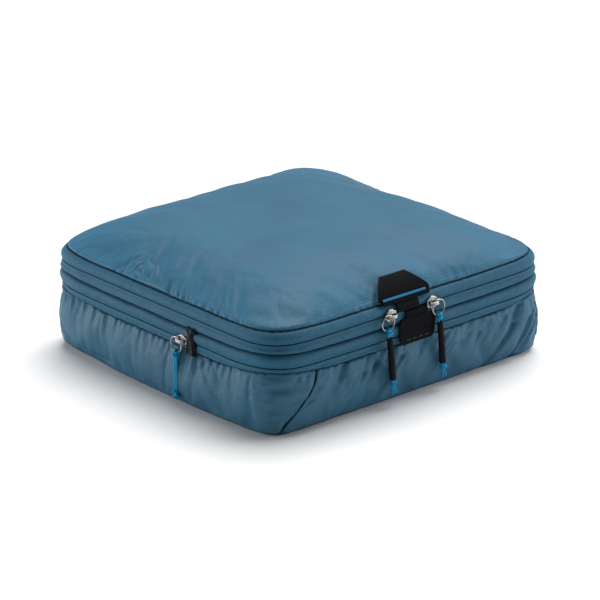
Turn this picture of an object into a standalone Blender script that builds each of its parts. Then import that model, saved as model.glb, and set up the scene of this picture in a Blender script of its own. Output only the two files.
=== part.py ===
"""Soft packing cube with a zip-round lid, a compression zipper and cord pulls.

The cube stands on its bottom panel, centred on the origin, with +Z up. Its front, with the two
main sliders and the tab, faces -Y; the compression slider is on the -X side. A point near a wall
is given by its distance along the wall, how far it stands out of the nominal wall, and its height.
"""
import math

import bmesh
import bpy
from mathutils import Vector

# Plan outline: straight runs joined by soft corners
HALF_X = 0.163
HALF_Y = 0.155
CORNER = 0.058
CORNER_POWER = 3.2
FLOOR_CORNER_POWER = 5.0
CORNER_STEPS = 8

# Heights
LOWER_SEAM_Z = 0.053
COMPRESSION_SLIT_Z = 0.058
MIDDLE_SEAM_Z = 0.070
MAIN_SLIT_Z = 0.080
TOP_SEAM_Z = 0.090
TOTAL_HEIGHT = 0.120
SEAM_HALF = 0.0015
SLIT_HALF = 0.0006
GAP = 0.0003

# How far each layer lies inside the nominal wall
SEAM_OUT = 0.0008
SEAM_IN = 0.0040
TAPE_OUT = 0.0020
TAPE_IN = 0.0030
COIL_OUT = 0.0033
COIL_IN = 0.0049
COIL_HEIGHT = 0.0018
GUSSET_OUT = 0.0070
GUSSET_IN = 0.0082
FABRIC = 0.0012

# Pouch
FLOOR_INSET = 0.0065
POUCH_BULGE = 0.0018
POUCH_FOOT_Z = 0.0015
POUCH_ROWS = 6
SEAM_TURN_TOP = 0.310
SEAM_TURN_FOOT = 0.465
STRAIGHT_SEAM_TURN = 0.480
PANEL_GAP_TURN = 0.0016
LONG_WALL_COLUMNS = 13
SIDE_WALL_COLUMNS = 19
GUSSET_FOOT_Z = 0.008

# Lid
TOP_LEAN = 0.0040
DOME_REACH = 0.024
DOME_RINGS = (0.0, 0.02, 0.045, 0.075, 0.115, 0.17, 0.25, 0.38, 0.60, 0.85)
SKIN_DROP = 0.0009
STRAP_HALF_WIDTH = 0.0125
UPPER_TAB_X = -0.0125
UPPER_TAB_THICKNESS = 0.0012
UPPER_TAB_LIFT = 0.0006
LOWER_TAB_X = -0.0025
LOWER_TAB_THICKNESS = 0.0007
STITCH_HALF_WIDTH = 0.0255
STRIP_THICKNESS = 0.0006
HINGE_HALF_WIDTH = 0.100
HINGE_COLUMNS = 9

# Zipper hardware
MAIN_LEFT_SLIDER_X = -0.032
MAIN_RIGHT_SLIDER_X = 0.016
COMPRESSION_SLIDER_Y = -0.039
GARAGE_Y = -0.0505
GARAGE_HALF_WIDTH = 0.0056
GARAGE_FOOT_DROP = 0.0050
GARAGE_HEAD_RISE = 0.0015
GARAGE_THICKNESS = 0.0011
SLIDER_HALF_LENGTH = 0.0048
MAIN_SLIDER_HALF_HEIGHT = 0.0042
COMPRESSION_SLIDER_HALF_HEIGHT = 0.0031
CROWN_HALF_WIDTH = 0.0010
WIRE_RADIUS = 0.00075
RING_RADIUS = 0.0068
RING_OUT = 0.0022
RING_ALONG = 0.0048
RING_DROP = 0.0048
CORD_RADIUS = 0.0009
SLEEVE_OUT = 0.0040
SLEEVE_RADIUS = 0.0029
SLEEVE_BORE = 0.0022
SLEEVE_LENGTH = 0.040
STRAND_HALF_SPACING = 0.00105
HITCH_DROP = 0.0045
MAIN_STRAND = SLEEVE_LENGTH + 0.0020
MAIN_KNOT = (0.011, 0.0034)
COMPRESSION_STRAND = 0.0300
COMPRESSION_STRAND_OUT = -0.0006
COMPRESSION_KNOT = (0.0085, 0.0028)
PULL_LEAN = math.radians(6)

TEAL = (0.045, 0.125, 0.180)
LIGHT_TEAL = (0.085, 0.205, 0.295)
TAPE_TEAL = (0.040, 0.120, 0.180)
NEAR_BLACK = (0.010, 0.011, 0.014)
CORD_BLUE = (0.010, 0.260, 0.560)
SILVER = (0.62, 0.60, 0.60)


def clear_scene():
    for item in list(bpy.data.objects):
        bpy.data.objects.remove(item, do_unlink=True)


def material(name, colour, roughness, metallic=0.0):
    """A Principled material of its own for each sub-part."""
    made = bpy.data.materials.new(name)
    made.use_nodes = True
    shader = made.node_tree.nodes["Principled BSDF"]
    shader.inputs["Base Color"].default_value = (*colour, 1.0)
    shader.inputs["Roughness"].default_value = roughness
    shader.inputs["Metallic"].default_value = metallic
    made.diffuse_color = (*colour, 1.0)
    return made


def finish_mesh(name, work, look, smooth_angle=40):
    """Turn a bmesh into a named, outward-facing, shaded object."""
    bmesh.ops.recalc_face_normals(work, faces=work.faces[:])
    mesh = bpy.data.meshes.new(name)
    work.to_mesh(mesh)
    work.free()
    mesh.materials.append(material(name, *look))
    mesh.shade_smooth()
    mesh.set_sharp_from_angle(angle=math.radians(smooth_angle))
    made = bpy.data.objects.new(name, mesh)
    bpy.context.scene.collection.objects.link(made)
    return made


def set_origin(made, point):
    """Move an object's origin to a joint axis without moving its surface."""
    point = Vector(point)
    for vertex in made.data.vertices:
        vertex.co -= point
    made.location = point


def hang_on(made, parent_name, point):
    """Parent a piece to an empty on its joint axis, making the empty once."""
    empty = bpy.data.objects.get(parent_name)
    if empty is None:
        empty = bpy.data.objects.new(parent_name, None)
        bpy.context.scene.collection.objects.link(empty)
        empty.location = point
        bpy.context.view_layer.update()
    made.parent = empty
    made.matrix_parent_inverse = empty.matrix_world.inverted()


# ---------------------------------------------------------------- plan outline


def perimeter_point(turn, inset, power=CORNER_POWER):
    """Plan point on the outline. turn counts quarters from the middle of the +X side."""
    quarter = int(math.floor(turn)) % 4
    share = turn - math.floor(turn)
    radius = CORNER - inset
    straight_x = HALF_X - CORNER
    straight_y = HALF_Y - CORNER
    along_x = straight_x if quarter % 2 == 0 else straight_y
    along_y = straight_y if quarter % 2 == 0 else straight_x
    if share < 0.3:
        local = (along_x + radius, along_y * share / 0.3)
    elif share > 0.7:
        local = (along_x * (1.0 - share) / 0.3, along_y + radius)
    else:
        angle = math.radians(90) * (share - 0.3) / 0.4
        across = abs(math.cos(angle)) ** (2.0 / power)
        up = abs(math.sin(angle)) ** (2.0 / power)
        local = (along_x + radius * across, along_y + radius * up)
    x, y = local
    for _ in range(quarter):
        x, y = -y, x
    return x, y


def outline(inset, power=CORNER_POWER):
    """The whole closed outline as plan points."""
    turns = []
    for quarter in range(4):
        for step in range(CORNER_STEPS + 1):
            turns.append(quarter + 0.3 + 0.4 * step / CORNER_STEPS)
    return [perimeter_point(turn, inset, power) for turn in turns]


def ring(name, section, look):
    """A closed ring round the cube from a section of (inset, height) points."""
    work = bmesh.new()
    loops = [outline(inset) for inset, _ in section]
    count = len(loops[0])
    rows = []
    for index in range(count):
        rows.append([
            work.verts.new((loop[index][0], loop[index][1], height))
            for loop, (_, height) in zip(loops, section)
        ])
    for index in range(count):
        here = rows[index]
        there = rows[(index + 1) % count]
        for corner in range(len(section)):
            after = (corner + 1) % len(section)
            work.faces.new((here[corner], there[corner], there[after], here[after]))
    return finish_mesh(name, work, look)


def band(name, outer, inner, low, high, look):
    """A ring of rectangular section."""
    return ring(name, [(outer, low), (inner, low), (inner, high), (outer, high)], look)


def grid_shell(name, outer, inner, look, smooth_angle=40):
    """A closed sheet from two equal grids of points, front and back."""
    work = bmesh.new()
    front = [[work.verts.new(point) for point in row] for row in outer]
    back = [[work.verts.new(point) for point in row] for row in inner]
    rows = len(outer)
    columns = len(outer[0])
    for row in range(rows - 1):
        for column in range(columns - 1):
            for grid in (front, back):
                work.faces.new((
                    grid[row][column], grid[row][column + 1],
                    grid[row + 1][column + 1], grid[row + 1][column],
                ))
    rim = [(0, column) for column in range(columns)]
    rim += [(row, columns - 1) for row in range(1, rows)]
    rim += [(rows - 1, column) for column in range(columns - 2, -1, -1)]
    rim += [(row, 0) for row in range(rows - 2, 0, -1)]
    for place in range(len(rim)):
        row, column = rim[place]
        next_row, next_column = rim[(place + 1) % len(rim)]
        work.faces.new((
            front[row][column], front[next_row][next_column],
            back[next_row][next_column], back[row][column],
        ))
    return finish_mesh(name, work, look, smooth_angle)


# ---------------------------------------------------------------- pouch


def pouch_inset(height_share):
    """How far the pouch wall lies inside the nominal wall, from foot (0) to seam (1)."""
    bulge = POUCH_BULGE * math.sin(math.pi * height_share)
    return TAPE_OUT * height_share ** 4 + FLOOR_INSET * (1.0 - height_share) ** 2 - bulge


def corner_seam_turn(height_share):
    """The curved corner seam, on two opposite corners: near the corner at the foot, well along
    the wall at the top. The other two corner seams run straight down their corners."""
    return SEAM_TURN_TOP + (SEAM_TURN_FOOT - SEAM_TURN_TOP) * (1.0 - height_share) ** 2


def pouch_panel(name, middle_turn, on_long_side, columns):
    """One wall of the pouch. It starts or ends at a curved corner seam and a straight one."""
    outer = []
    inner = []
    top = LOWER_SEAM_Z - SEAM_HALF - GAP
    for row in range(POUCH_ROWS):
        share = row / (POUCH_ROWS - 1)
        height = POUCH_FOOT_Z + (top - POUCH_FOOT_Z) * share
        power = FLOOR_CORNER_POWER + (CORNER_POWER - FLOOR_CORNER_POWER) * share
        before = corner_seam_turn(share)
        after = STRAIGHT_SEAM_TURN
        if not on_long_side:
            before, after = 1.0 - after, 1.0 - before
        first_turn = middle_turn - before + PANEL_GAP_TURN
        last_turn = middle_turn + after - PANEL_GAP_TURN
        inset = pouch_inset(share)
        outer_row = []
        inner_row = []
        for column in range(columns):
            turn = first_turn + (last_turn - first_turn) * column / (columns - 1)
            outer_row.append((*perimeter_point(turn, inset, power), height))
            inner_row.append((*perimeter_point(turn, inset + FABRIC, power), height))
        outer.append(outer_row)
        inner.append(inner_row)
    return grid_shell(name, outer, inner, (TEAL, 0.55))


def bottom_panel():
    work = bmesh.new()
    plan = outline(FLOOR_INSET, FLOOR_CORNER_POWER)
    low = [work.verts.new((x, y, 0.0)) for x, y in plan]
    high = [work.verts.new((x, y, FABRIC)) for x, y in plan]
    work.faces.new(low[::-1])
    work.faces.new(high)
    for index in range(len(plan)):
        after = (index + 1) % len(plan)
        work.faces.new((low[index], low[after], high[after], high[index]))
    return finish_mesh("bottom_panel", work, (TEAL, 0.6))


def base_pieces():
    bottom_panel()
    pouch_panel("pouch_front_panel", 3.0, True, LONG_WALL_COLUMNS)
    pouch_panel("pouch_back_panel", 1.0, True, LONG_WALL_COLUMNS)
    pouch_panel("pouch_left_panel", 2.0, False, SIDE_WALL_COLUMNS)
    pouch_panel("pouch_right_panel", 4.0, False, SIDE_WALL_COLUMNS)
    seam_low = LOWER_SEAM_Z - SEAM_HALF
    seam_high = LOWER_SEAM_Z + SEAM_HALF
    band("lower_seam_binding", SEAM_OUT, SEAM_IN, seam_low, seam_high, (NEAR_BLACK, 0.7))
    slit = COMPRESSION_SLIT_Z - SLIT_HALF
    band("compression_tape_lower", TAPE_OUT, TAPE_IN, seam_high + GAP, slit, (TAPE_TEAL, 0.6))
    coil_top = slit - 2 * GAP
    band("compression_coil_lower", COIL_OUT, COIL_IN, coil_top - COIL_HEIGHT, coil_top, (TEAL, 0.4))


def gusset():
    """The folding wall behind the compression zipper, hung from the middle seam."""
    lip_high = MIDDLE_SEAM_Z - SEAM_HALF - 2 * GAP
    lip_low = lip_high - FABRIC
    section = [
        (GUSSET_IN, GUSSET_FOOT_Z), (GUSSET_OUT, GUSSET_FOOT_Z), (GUSSET_OUT, lip_low),
        (COIL_OUT, lip_low), (COIL_OUT, lip_high), (GUSSET_IN, lip_high),
    ]
    ring("expansion_gusset", section, (TEAL, 0.6))


def upper_frame_pieces():
    slit = COMPRESSION_SLIT_Z + SLIT_HALF
    seam_low = MIDDLE_SEAM_Z - SEAM_HALF
    seam_high = MIDDLE_SEAM_Z + SEAM_HALF
    band("compression_tape_upper", TAPE_OUT, TAPE_IN, slit, seam_low - GAP, (TAPE_TEAL, 0.6))
    coil_foot = slit + GAP
    band("compression_coil_upper", COIL_OUT, COIL_IN, coil_foot, coil_foot + COIL_HEIGHT, (TEAL, 0.4))
    band("middle_seam_binding", SEAM_OUT, SEAM_IN, seam_low, seam_high, (NEAR_BLACK, 0.7))
    main_slit = MAIN_SLIT_Z - SLIT_HALF
    band("main_tape_lower", TAPE_OUT, TAPE_IN, seam_high + GAP, main_slit, (TAPE_TEAL, 0.6))
    coil_top = main_slit - GAP
    band("main_coil_lower", COIL_OUT, COIL_IN, coil_top - COIL_HEIGHT, coil_top, (TEAL, 0.4))
    gusset()


# ---------------------------------------------------------------- lid


def dome_height(share):
    """Outer height of the top panel at a share of the way from its seam to its middle."""
    foot = TOP_SEAM_Z + SEAM_HALF + GAP
    crown = TOTAL_HEIGHT - foot - DOME_REACH
    rise = DOME_REACH * (1.0 - math.exp(-share * HALF_Y / DOME_REACH))
    settle = DOME_REACH * math.exp(-HALF_Y / DOME_REACH)
    return foot + rise + (crown + settle) * (1.0 - (1.0 - share) ** 2)


def top_panel():
    """Domed shell: an outer and an inner skin joined at the rim."""
    work = bmesh.new()
    skins = []
    for inset, drop in ((TAPE_OUT, 0.0), (TAPE_OUT + FABRIC, SKIN_DROP)):
        plan = outline(inset + TOP_LEAN)
        rings = []
        for share in DOME_RINGS:
            height = dome_height(share) - (drop if share > 0 else 0.0)
            shrink = 1.0 - share
            rings.append([work.verts.new((x * shrink, y * shrink, height)) for x, y in plan])
        middle = work.verts.new((0.0, 0.0, dome_height(1.0) - drop))
        skins.append((rings, middle))
    count = len(skins[0][0][0])
    for rings, middle in skins:
        for low, high in zip(rings, rings[1:]):
            for index in range(count):
                after = (index + 1) % count
                work.faces.new((low[index], low[after], high[after], high[index]))
        for index in range(count):
            work.faces.new((rings[-1][index], rings[-1][(index + 1) % count], middle))
    outer_rim = skins[0][0][0]
    inner_rim = skins[1][0][0]
    for index in range(count):
        after = (index + 1) % count
        work.faces.new((outer_rim[index], outer_rim[after], inner_rim[after], inner_rim[index]))
    return finish_mesh("top_panel", work, (LIGHT_TEAL, 0.5))


def strip_edges(path, thickness):
    """Inner and outer (out, height) points of a strip that follows a path."""
    edges = []
    for index, (out, height, _) in enumerate(path):
        before = path[max(index - 1, 0)]
        after = path[min(index + 1, len(path) - 1)]
        run = Vector((after[0] - before[0], after[1] - before[1])).normalized()
        here = Vector((out, height))
        edges.append((here, here + Vector((run.y, -run.x)) * thickness))
    return edges


def front_strip(name, centre, path, thickness, look):
    """A strip on the front, centred at an x: path points are (out, height, half width)."""
    grids = ([], [])
    for (_, _, half), edge in zip(path, strip_edges(path, thickness)):
        for grid, (out, height) in zip(grids, edge):
            grid.append([
                (centre + half * side, -HALF_Y - out, height) for side in (-1, -0.35, 0.35, 1)
            ])
    return grid_shell(name, grids[1], grids[0], look)


def tab_path():
    """The upper tab's route, up the front and on to the dome."""
    slit_clear = -SEAM_OUT + GAP
    seam_clear = slit_clear - TOP_LEAN
    rim = -TAPE_OUT - TOP_LEAN
    path = [
        (slit_clear, MAIN_SLIT_Z + SLIT_HALF + 0.0004, STRAP_HALF_WIDTH),
        (seam_clear, TOP_SEAM_Z - 0.0002, STRAP_HALF_WIDTH),
        (seam_clear, TOP_SEAM_Z + 0.0001, 0.0255),
        (seam_clear, TOP_SEAM_Z + SEAM_HALF + 0.0004, 0.0275),
    ]
    widths = ((0.012, 0.0290), (0.035, 0.0255), (0.060, 0.0217), (0.088, 0.0175), (0.108, 0.0145))
    step = 0.01
    for share, half in widths:
        out = rim - share * (HALF_Y + rim)
        slope = (dome_height(share + step) - dome_height(share)) / (step * HALF_Y)
        normal = Vector((slope, 1.0)).normalized() * UPPER_TAB_LIFT
        path.append((out + normal.x, dome_height(share) + normal.y, half))
    return path


def stitch_bar():
    """The bright sewn bar near the front edge of the upper tab."""
    edges = strip_edges(tab_path(), UPPER_TAB_THICKNESS)
    low, high = edges[3][1], edges[4][1]
    run = (high - low).normalized()
    lift = Vector((run.y, -run.x)) * GAP
    route = [(*(low.lerp(high, share) + lift), STITCH_HALF_WIDTH) for share in (0.30, 0.85)]
    front_strip("tab_stitch_bar", UPPER_TAB_X, route, STRIP_THICKNESS, (CORD_BLUE, 0.5))


def hinge_strip(name, low, high):
    """Half of the fabric hinge, flat on the back of the tapes."""
    outer_y = HALF_Y - SEAM_OUT - GAP
    inner_y = outer_y - STRIP_THICKNESS
    row = [HINGE_HALF_WIDTH * (2.0 * column / (HINGE_COLUMNS - 1) - 1.0) for column in range(HINGE_COLUMNS)]
    outer = [[(x, outer_y, height) for x in row] for height in (low, high)]
    inner = [[(x, inner_y, height) for x in row] for height in (low, high)]
    return grid_shell(name, outer, inner, (TEAL, 0.6))


def lid_pieces():
    slit = MAIN_SLIT_Z + SLIT_HALF
    seam_low = TOP_SEAM_Z - SEAM_HALF
    seam_high = TOP_SEAM_Z + SEAM_HALF
    coil_foot = slit + GAP
    coil_top = coil_foot + COIL_HEIGHT
    band("main_coil_upper", COIL_OUT, COIL_IN, coil_foot, coil_top, (TEAL, 0.4))
    knee = coil_top + GAP
    tape_top = seam_low - GAP
    tape = [
        (TAPE_OUT, slit), (TAPE_IN, slit), (TAPE_IN, knee), (TAPE_IN + TOP_LEAN, tape_top),
        (TAPE_OUT + TOP_LEAN, tape_top), (TAPE_OUT, knee),
    ]
    ring("main_tape_upper", tape, (TAPE_TEAL, 0.6))
    seam = (SEAM_OUT + TOP_LEAN, SEAM_IN + TOP_LEAN)
    band("top_seam_binding", *seam, seam_low, seam_high, (NEAR_BLACK, 0.7))
    top_panel()
    front_strip("upper_tab", UPPER_TAB_X, tab_path(), UPPER_TAB_THICKNESS, (NEAR_BLACK, 0.55))
    stitch_bar()
    hinge_strip("lid_hinge_strip_upper", MAIN_SLIT_Z + GAP / 2, seam_low - GAP)


def lower_tab():
    """The strap below the opening, which widens into the hanging tab."""
    out = -SEAM_OUT + GAP
    stations = (
        (0.0545, 0.0160), (0.0568, 0.0192), (0.0600, 0.0205), (0.0712, 0.0200),
        (0.0735, STRAP_HALF_WIDTH), (0.0790, STRAP_HALF_WIDTH),
    )
    path = [(out, height, half) for height, half in stations]
    front_strip("lower_tab", LOWER_TAB_X, path, LOWER_TAB_THICKNESS, (NEAR_BLACK, 0.55))


def back_strip_lower():
    hinge_strip("lid_hinge_strip_lower", MIDDLE_SEAM_Z + SEAM_HALF + GAP, MAIN_SLIT_Z - GAP / 2)


# ---------------------------------------------------------------- zipper hardware


class Place:
    """A slider's own frame: along the zipper, out of the wall, and up."""

    def __init__(self, along, outward, start, slit_height):
        self.along = Vector(along)
        self.outward = Vector(outward)
        wall = HALF_X if abs(self.outward.x) > 0.5 else HALF_Y
        self.base = self.along * start + self.outward * wall + Vector((0, 0, slit_height))

    def at(self, along, out, up):
        return self.base + self.along * along + self.outward * out + Vector((0, 0, up))


def prism(name, first, last, look):
    """A solid between two equal outlines."""
    work = bmesh.new()
    sides = [[work.verts.new(point) for point in points] for points in (first, last)]
    work.faces.new(sides[0])
    work.faces.new(sides[1][::-1])
    count = len(first)
    for index in range(count):
        after = (index + 1) % count
        work.faces.new((sides[0][index], sides[0][after], sides[1][after], sides[1][index]))
    return finish_mesh(name, work, look)


def slider_body(name, place, half):
    """Outer and inner plates joined by the thin wedge that runs in the slit."""
    web = 0.0003
    plate_back = -0.0017
    plate_front = -0.0005
    plate_edge = half - 0.0006
    inner_front = -0.0052
    inner_back = -0.0062
    inner_half = 0.0030
    section = [
        (plate_back, web), (plate_back, half), (plate_front, plate_edge),
        (plate_front, -plate_edge), (plate_back, -half), (plate_back, -web),
        (inner_front, -web), (inner_front, -inner_half), (inner_back, -inner_half),
        (inner_back, inner_half), (inner_front, inner_half), (inner_front, web),
    ]
    ends = [
        [place.at(along, out, up) for out, up in section]
        for along in (-SLIDER_HALF_LENGTH, SLIDER_HALF_LENGTH)
    ]
    prism(name, *ends, (SILVER, 0.3, 1.0))


def slider_crown(name, place):
    """The arch that the pull ring hangs in."""
    foot = 0.0045
    inner_foot = 0.0035
    base = -0.0002
    top = RING_OUT + WIRE_RADIUS + GAP + 0.0005
    shape = [(foot, base), (foot, top - 0.0012), (foot - 0.0013, top)]
    shape += [(-along, out) for along, out in reversed(shape)]
    inside = [(-inner_foot, base), (-inner_foot, top - 0.0013), (-inner_foot + 0.0006, top - 0.0005)]
    inside += [(-along, out) for along, out in reversed(inside)]
    ends = [
        [place.at(along, out, up) for along, out in shape + inside]
        for up in (-CROWN_HALF_WIDTH, CROWN_HALF_WIDTH)
    ]
    prism(name, *ends, (SILVER, 0.3, 1.0))


def pull_ring(name, place):
    """The wire ring: a torus through the crown."""
    work = bmesh.new()
    centre = place.at(RING_ALONG, RING_OUT, -RING_DROP)
    around = 28
    sides = 8
    rows = []
    for index in range(around):
        angle = 2 * math.pi * index / around
        direction = place.along * math.cos(angle) + Vector((0, 0, math.sin(angle)))
        row = []
        for side in range(sides):
            turn = 2 * math.pi * side / sides
            reach = RING_RADIUS + WIRE_RADIUS * math.cos(turn)
            point = centre + direction * reach + place.outward * (WIRE_RADIUS * math.sin(turn))
            row.append(work.verts.new(point))
        rows.append(row)
    for index in range(around):
        here = rows[index]
        there = rows[(index + 1) % around]
        for side in range(sides):
            after = (side + 1) % sides
            work.faces.new((here[side], there[side], there[after], here[after]))
    return finish_mesh(name, work, (SILVER, 0.3, 1.0))


def smooth_route(points, count):
    """Points read evenly from a smooth curve through the route's own points."""
    padded = [2 * points[0] - points[1], *points, 2 * points[-1] - points[-2]]
    dense = []
    for index in range(1, len(padded) - 2):
        a, b, c, d = padded[index - 1:index + 3]
        for step in range(12):
            t = step / 12.0
            dense.append(0.5 * (
                2 * b + (c - a) * t + (2 * a - 5 * b + 4 * c - d) * t * t
                + (3 * b - a - 3 * c + d) * t ** 3
            ))
    dense.append(points[-1])
    lengths = [0.0]
    for before, after in zip(dense, dense[1:]):
        lengths.append(lengths[-1] + (after - before).length)
    route = []
    for index in range(count):
        target = lengths[-1] * index / (count - 1)
        place = max(i for i, length in enumerate(lengths) if length <= target + 1e-12)
        place = min(place, len(dense) - 2)
        span = lengths[place + 1] - lengths[place]
        share = 0.0 if span == 0 else (target - lengths[place]) / span
        route.append(dense[place].lerp(dense[place + 1], share))
    return route


def cord_tube(name, points, look):
    """A cord: a poly curve with a round bevel and filled caps."""
    curve = bpy.data.curves.new(name, "CURVE")
    curve.dimensions = "3D"
    curve.bevel_depth = CORD_RADIUS
    curve.bevel_resolution = 2
    curve.use_fill_caps = True
    spline = curve.splines.new("POLY")
    spline.points.add(len(points) - 1)
    for spot, point in zip(spline.points, points):
        spot.co = (*point, 1.0)
    curve.materials.append(material(name, *look))
    made = bpy.data.objects.new(name, curve)
    bpy.context.scene.collection.objects.link(made)
    return made


def turned(start, axis, profile, sides):
    """The open side of a round solid, from (distance along the axis, radius) points."""
    work = bmesh.new()
    side_way = axis.cross(Vector((0.3, 0.5, 0.1))).normalized()
    other_way = axis.cross(side_way).normalized()
    rows = []
    for distance, radius in profile:
        centre = start + axis * distance
        row = []
        for side in range(sides):
            angle = 2 * math.pi * side / sides
            offset = side_way * math.cos(angle) + other_way * math.sin(angle)
            row.append(work.verts.new(centre + offset * radius))
        rows.append(row)
    for here, there in zip(rows, rows[1:]):
        for side in range(sides):
            after = (side + 1) % sides
            work.faces.new((here[side], here[after], there[after], there[side]))
    return work, rows


def turned_solid(name, start, axis, profile, sides, look):
    """A round solid closed by a flat face at each end."""
    work, rows = turned(start, axis, profile, sides)
    work.faces.new(rows[0])
    work.faces.new(rows[-1][::-1])
    return finish_mesh(name, work, look)


def turned_tube(name, start, axis, profile, sides, look):
    """A round solid with a bore: the profile's last point joins its first."""
    work, rows = turned(start, axis, profile, sides)
    for side in range(sides):
        after = (side + 1) % sides
        work.faces.new((rows[-1][side], rows[-1][after], rows[0][after], rows[0][side]))
    return finish_mesh(name, work, look)


def knot_profile(length, radius):
    """The lumpy outline of a tied knot."""
    return [
        (0.0, radius * 0.55), (length * 0.15, radius * 0.92), (length * 0.35, radius),
        (length * 0.55, radius * 0.85), (length * 0.75, radius * 0.9), (length, radius * 0.5),
    ]


def ring_foot(place):
    """The lowest point of the ring's wire, where the cord is hitched."""
    return place.at(RING_ALONG, RING_OUT, -RING_DROP - RING_RADIUS)


def hitch_points(foot, place, strand_out):
    """The cord's turn over the wire: front strand first, then the strand behind."""
    clear = WIRE_RADIUS + CORD_RADIUS + GAP
    side = place.along * 0.0005
    up = Vector((0, 0, 1))
    out = place.outward
    return [
        foot + out * strand_out - up * HITCH_DROP + side * 2.1,
        foot + out * (clear + 0.0002) - up * 0.0012 + side,
        foot + out * clear * 0.75 + up * clear * 0.75 + side * 0.5,
        foot + up * (clear + 0.0001),
        foot - out * clear * 0.75 + up * clear * 0.75 - side * 0.5,
        foot - out * (clear + 0.0002) - up * 0.0012 - side,
        foot + out * strand_out - up * HITCH_DROP - side * 2.1,
    ]


def strand_lengths(length):
    """Stations down a strand from its knot up to its hitch."""
    steps = 6
    return [length * step / steps for step in range(steps, 0, -1)]


def main_pull(prefix, place):
    """Cord, sleeve and knot of a main slider, with the sleeve leaning a little towards +X."""
    foot = ring_foot(place)
    axis = Vector((math.sin(PULL_LEAN), 0.0, -math.cos(PULL_LEAN)))
    strand_out = SLEEVE_OUT - RING_OUT
    start = foot + place.outward * strand_out - Vector((0, 0, HITCH_DROP))
    spacing = place.along - axis * place.along.dot(axis)
    spacing = spacing.normalized() * STRAND_HALF_SPACING
    hitch = hitch_points(foot, place, strand_out)
    mouth = axis * 0.0004
    lengths = strand_lengths(MAIN_STRAND)
    points = [start + spacing + axis * length for length in lengths]
    points += [start + spacing + mouth] + hitch[1:-1] + [start - spacing + mouth]
    points += [start - spacing + axis * length for length in reversed(lengths)]
    cord_tube(prefix + "_cord", smooth_route(points, 48), (CORD_BLUE, 0.6))
    rounded = SLEEVE_RADIUS * 0.93
    sleeve_top = 0.0008
    rim = 0.0012
    sleeve = [
        (sleeve_top, SLEEVE_BORE), (sleeve_top, rounded), (sleeve_top + rim, SLEEVE_RADIUS),
        (SLEEVE_LENGTH - rim, SLEEVE_RADIUS), (SLEEVE_LENGTH, rounded), (SLEEVE_LENGTH, SLEEVE_BORE),
    ]
    turned_tube(prefix + "_sleeve", start, axis, sleeve, 16, (NEAR_BLACK, 0.6))
    knot_start = start + axis * (MAIN_STRAND + GAP)
    turned_solid(prefix + "_knot", knot_start, axis, knot_profile(*MAIN_KNOT), 14, (CORD_BLUE, 0.6))


def compression_pull(prefix, place):
    """The doubled cord and knot of the compression slider."""
    foot = ring_foot(place)
    down = Vector((0, 0, -1))
    start = foot + place.outward * COMPRESSION_STRAND_OUT + down * HITCH_DROP
    spacing = place.along * STRAND_HALF_SPACING
    hitch = hitch_points(foot, place, COMPRESSION_STRAND_OUT)
    lengths = strand_lengths(COMPRESSION_STRAND)
    points = [start + spacing + down * length for length in lengths]
    points += [start + spacing] + hitch[1:-1] + [start - spacing]
    points += [start - spacing + down * length for length in reversed(lengths)]
    cord_tube(prefix + "_cord", smooth_route(points, 40), (CORD_BLUE, 0.6))
    knot_start = start + down * (COMPRESSION_STRAND + GAP)
    knot = knot_profile(*COMPRESSION_KNOT)
    turned_solid(prefix + "_knot", knot_start, down, knot, 14, (CORD_BLUE, 0.6))


def hardware(prefix, place, half_height):
    """Slider body and crown ride on one empty, and the ring has its origin in the crown."""
    slider_body(prefix + "_slider_body", place, half_height)
    slider_crown(prefix + "_slider_crown", place)
    pull_ring(prefix + "_pull_ring", place)
    origin = place.at(0.0, 0.0, 0.0)
    for suffix in ("_slider_body", "_slider_crown"):
        hang_on(bpy.data.objects[prefix + suffix], prefix + "_slider_axis", origin)
    set_origin(bpy.data.objects[prefix + "_pull_ring"], place.at(0.0, RING_OUT, 0.0))


def hang_pull(prefix, place, suffixes):
    for suffix in suffixes:
        hang_on(bpy.data.objects[prefix + suffix], prefix + "_pull_axis", ring_foot(place))


def zip_garage():
    """The stitched patch over the end of the compression zipper."""
    low = LOWER_SEAM_Z - GARAGE_FOOT_DROP
    high = MIDDLE_SEAM_Z + GARAGE_HEAD_RISE
    inner_x = -(HALF_X - SEAM_OUT + GAP)
    steps = 5
    inner = []
    for row in range(steps):
        share = row / (steps - 1)
        height = low + (high - low) * share
        waist = GARAGE_HALF_WIDTH * (1.0 - 0.12 * math.sin(math.pi * share))
        inner.append([
            (inner_x, GARAGE_Y + waist * side, height) for side in (-1.0, -0.35, 0.35, 1.0)
        ])
    outer = [[(x - GARAGE_THICKNESS, y, z) for x, y, z in row] for row in inner]
    grid_shell("zip_garage", outer, inner, (NEAR_BLACK, 0.8))


def lid_axis():
    """The lid's pieces turn about one line along the back, just outside the seams."""
    point = (0.0, HALF_Y + 0.0005, MAIN_SLIT_Z)
    names = (
        "main_tape_upper", "main_coil_upper", "top_seam_binding", "top_panel", "upper_tab",
        "tab_stitch_bar", "lid_hinge_strip_upper",
    )
    for name in names:
        hang_on(bpy.data.objects[name], "lid_hinge_axis", point)


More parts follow.
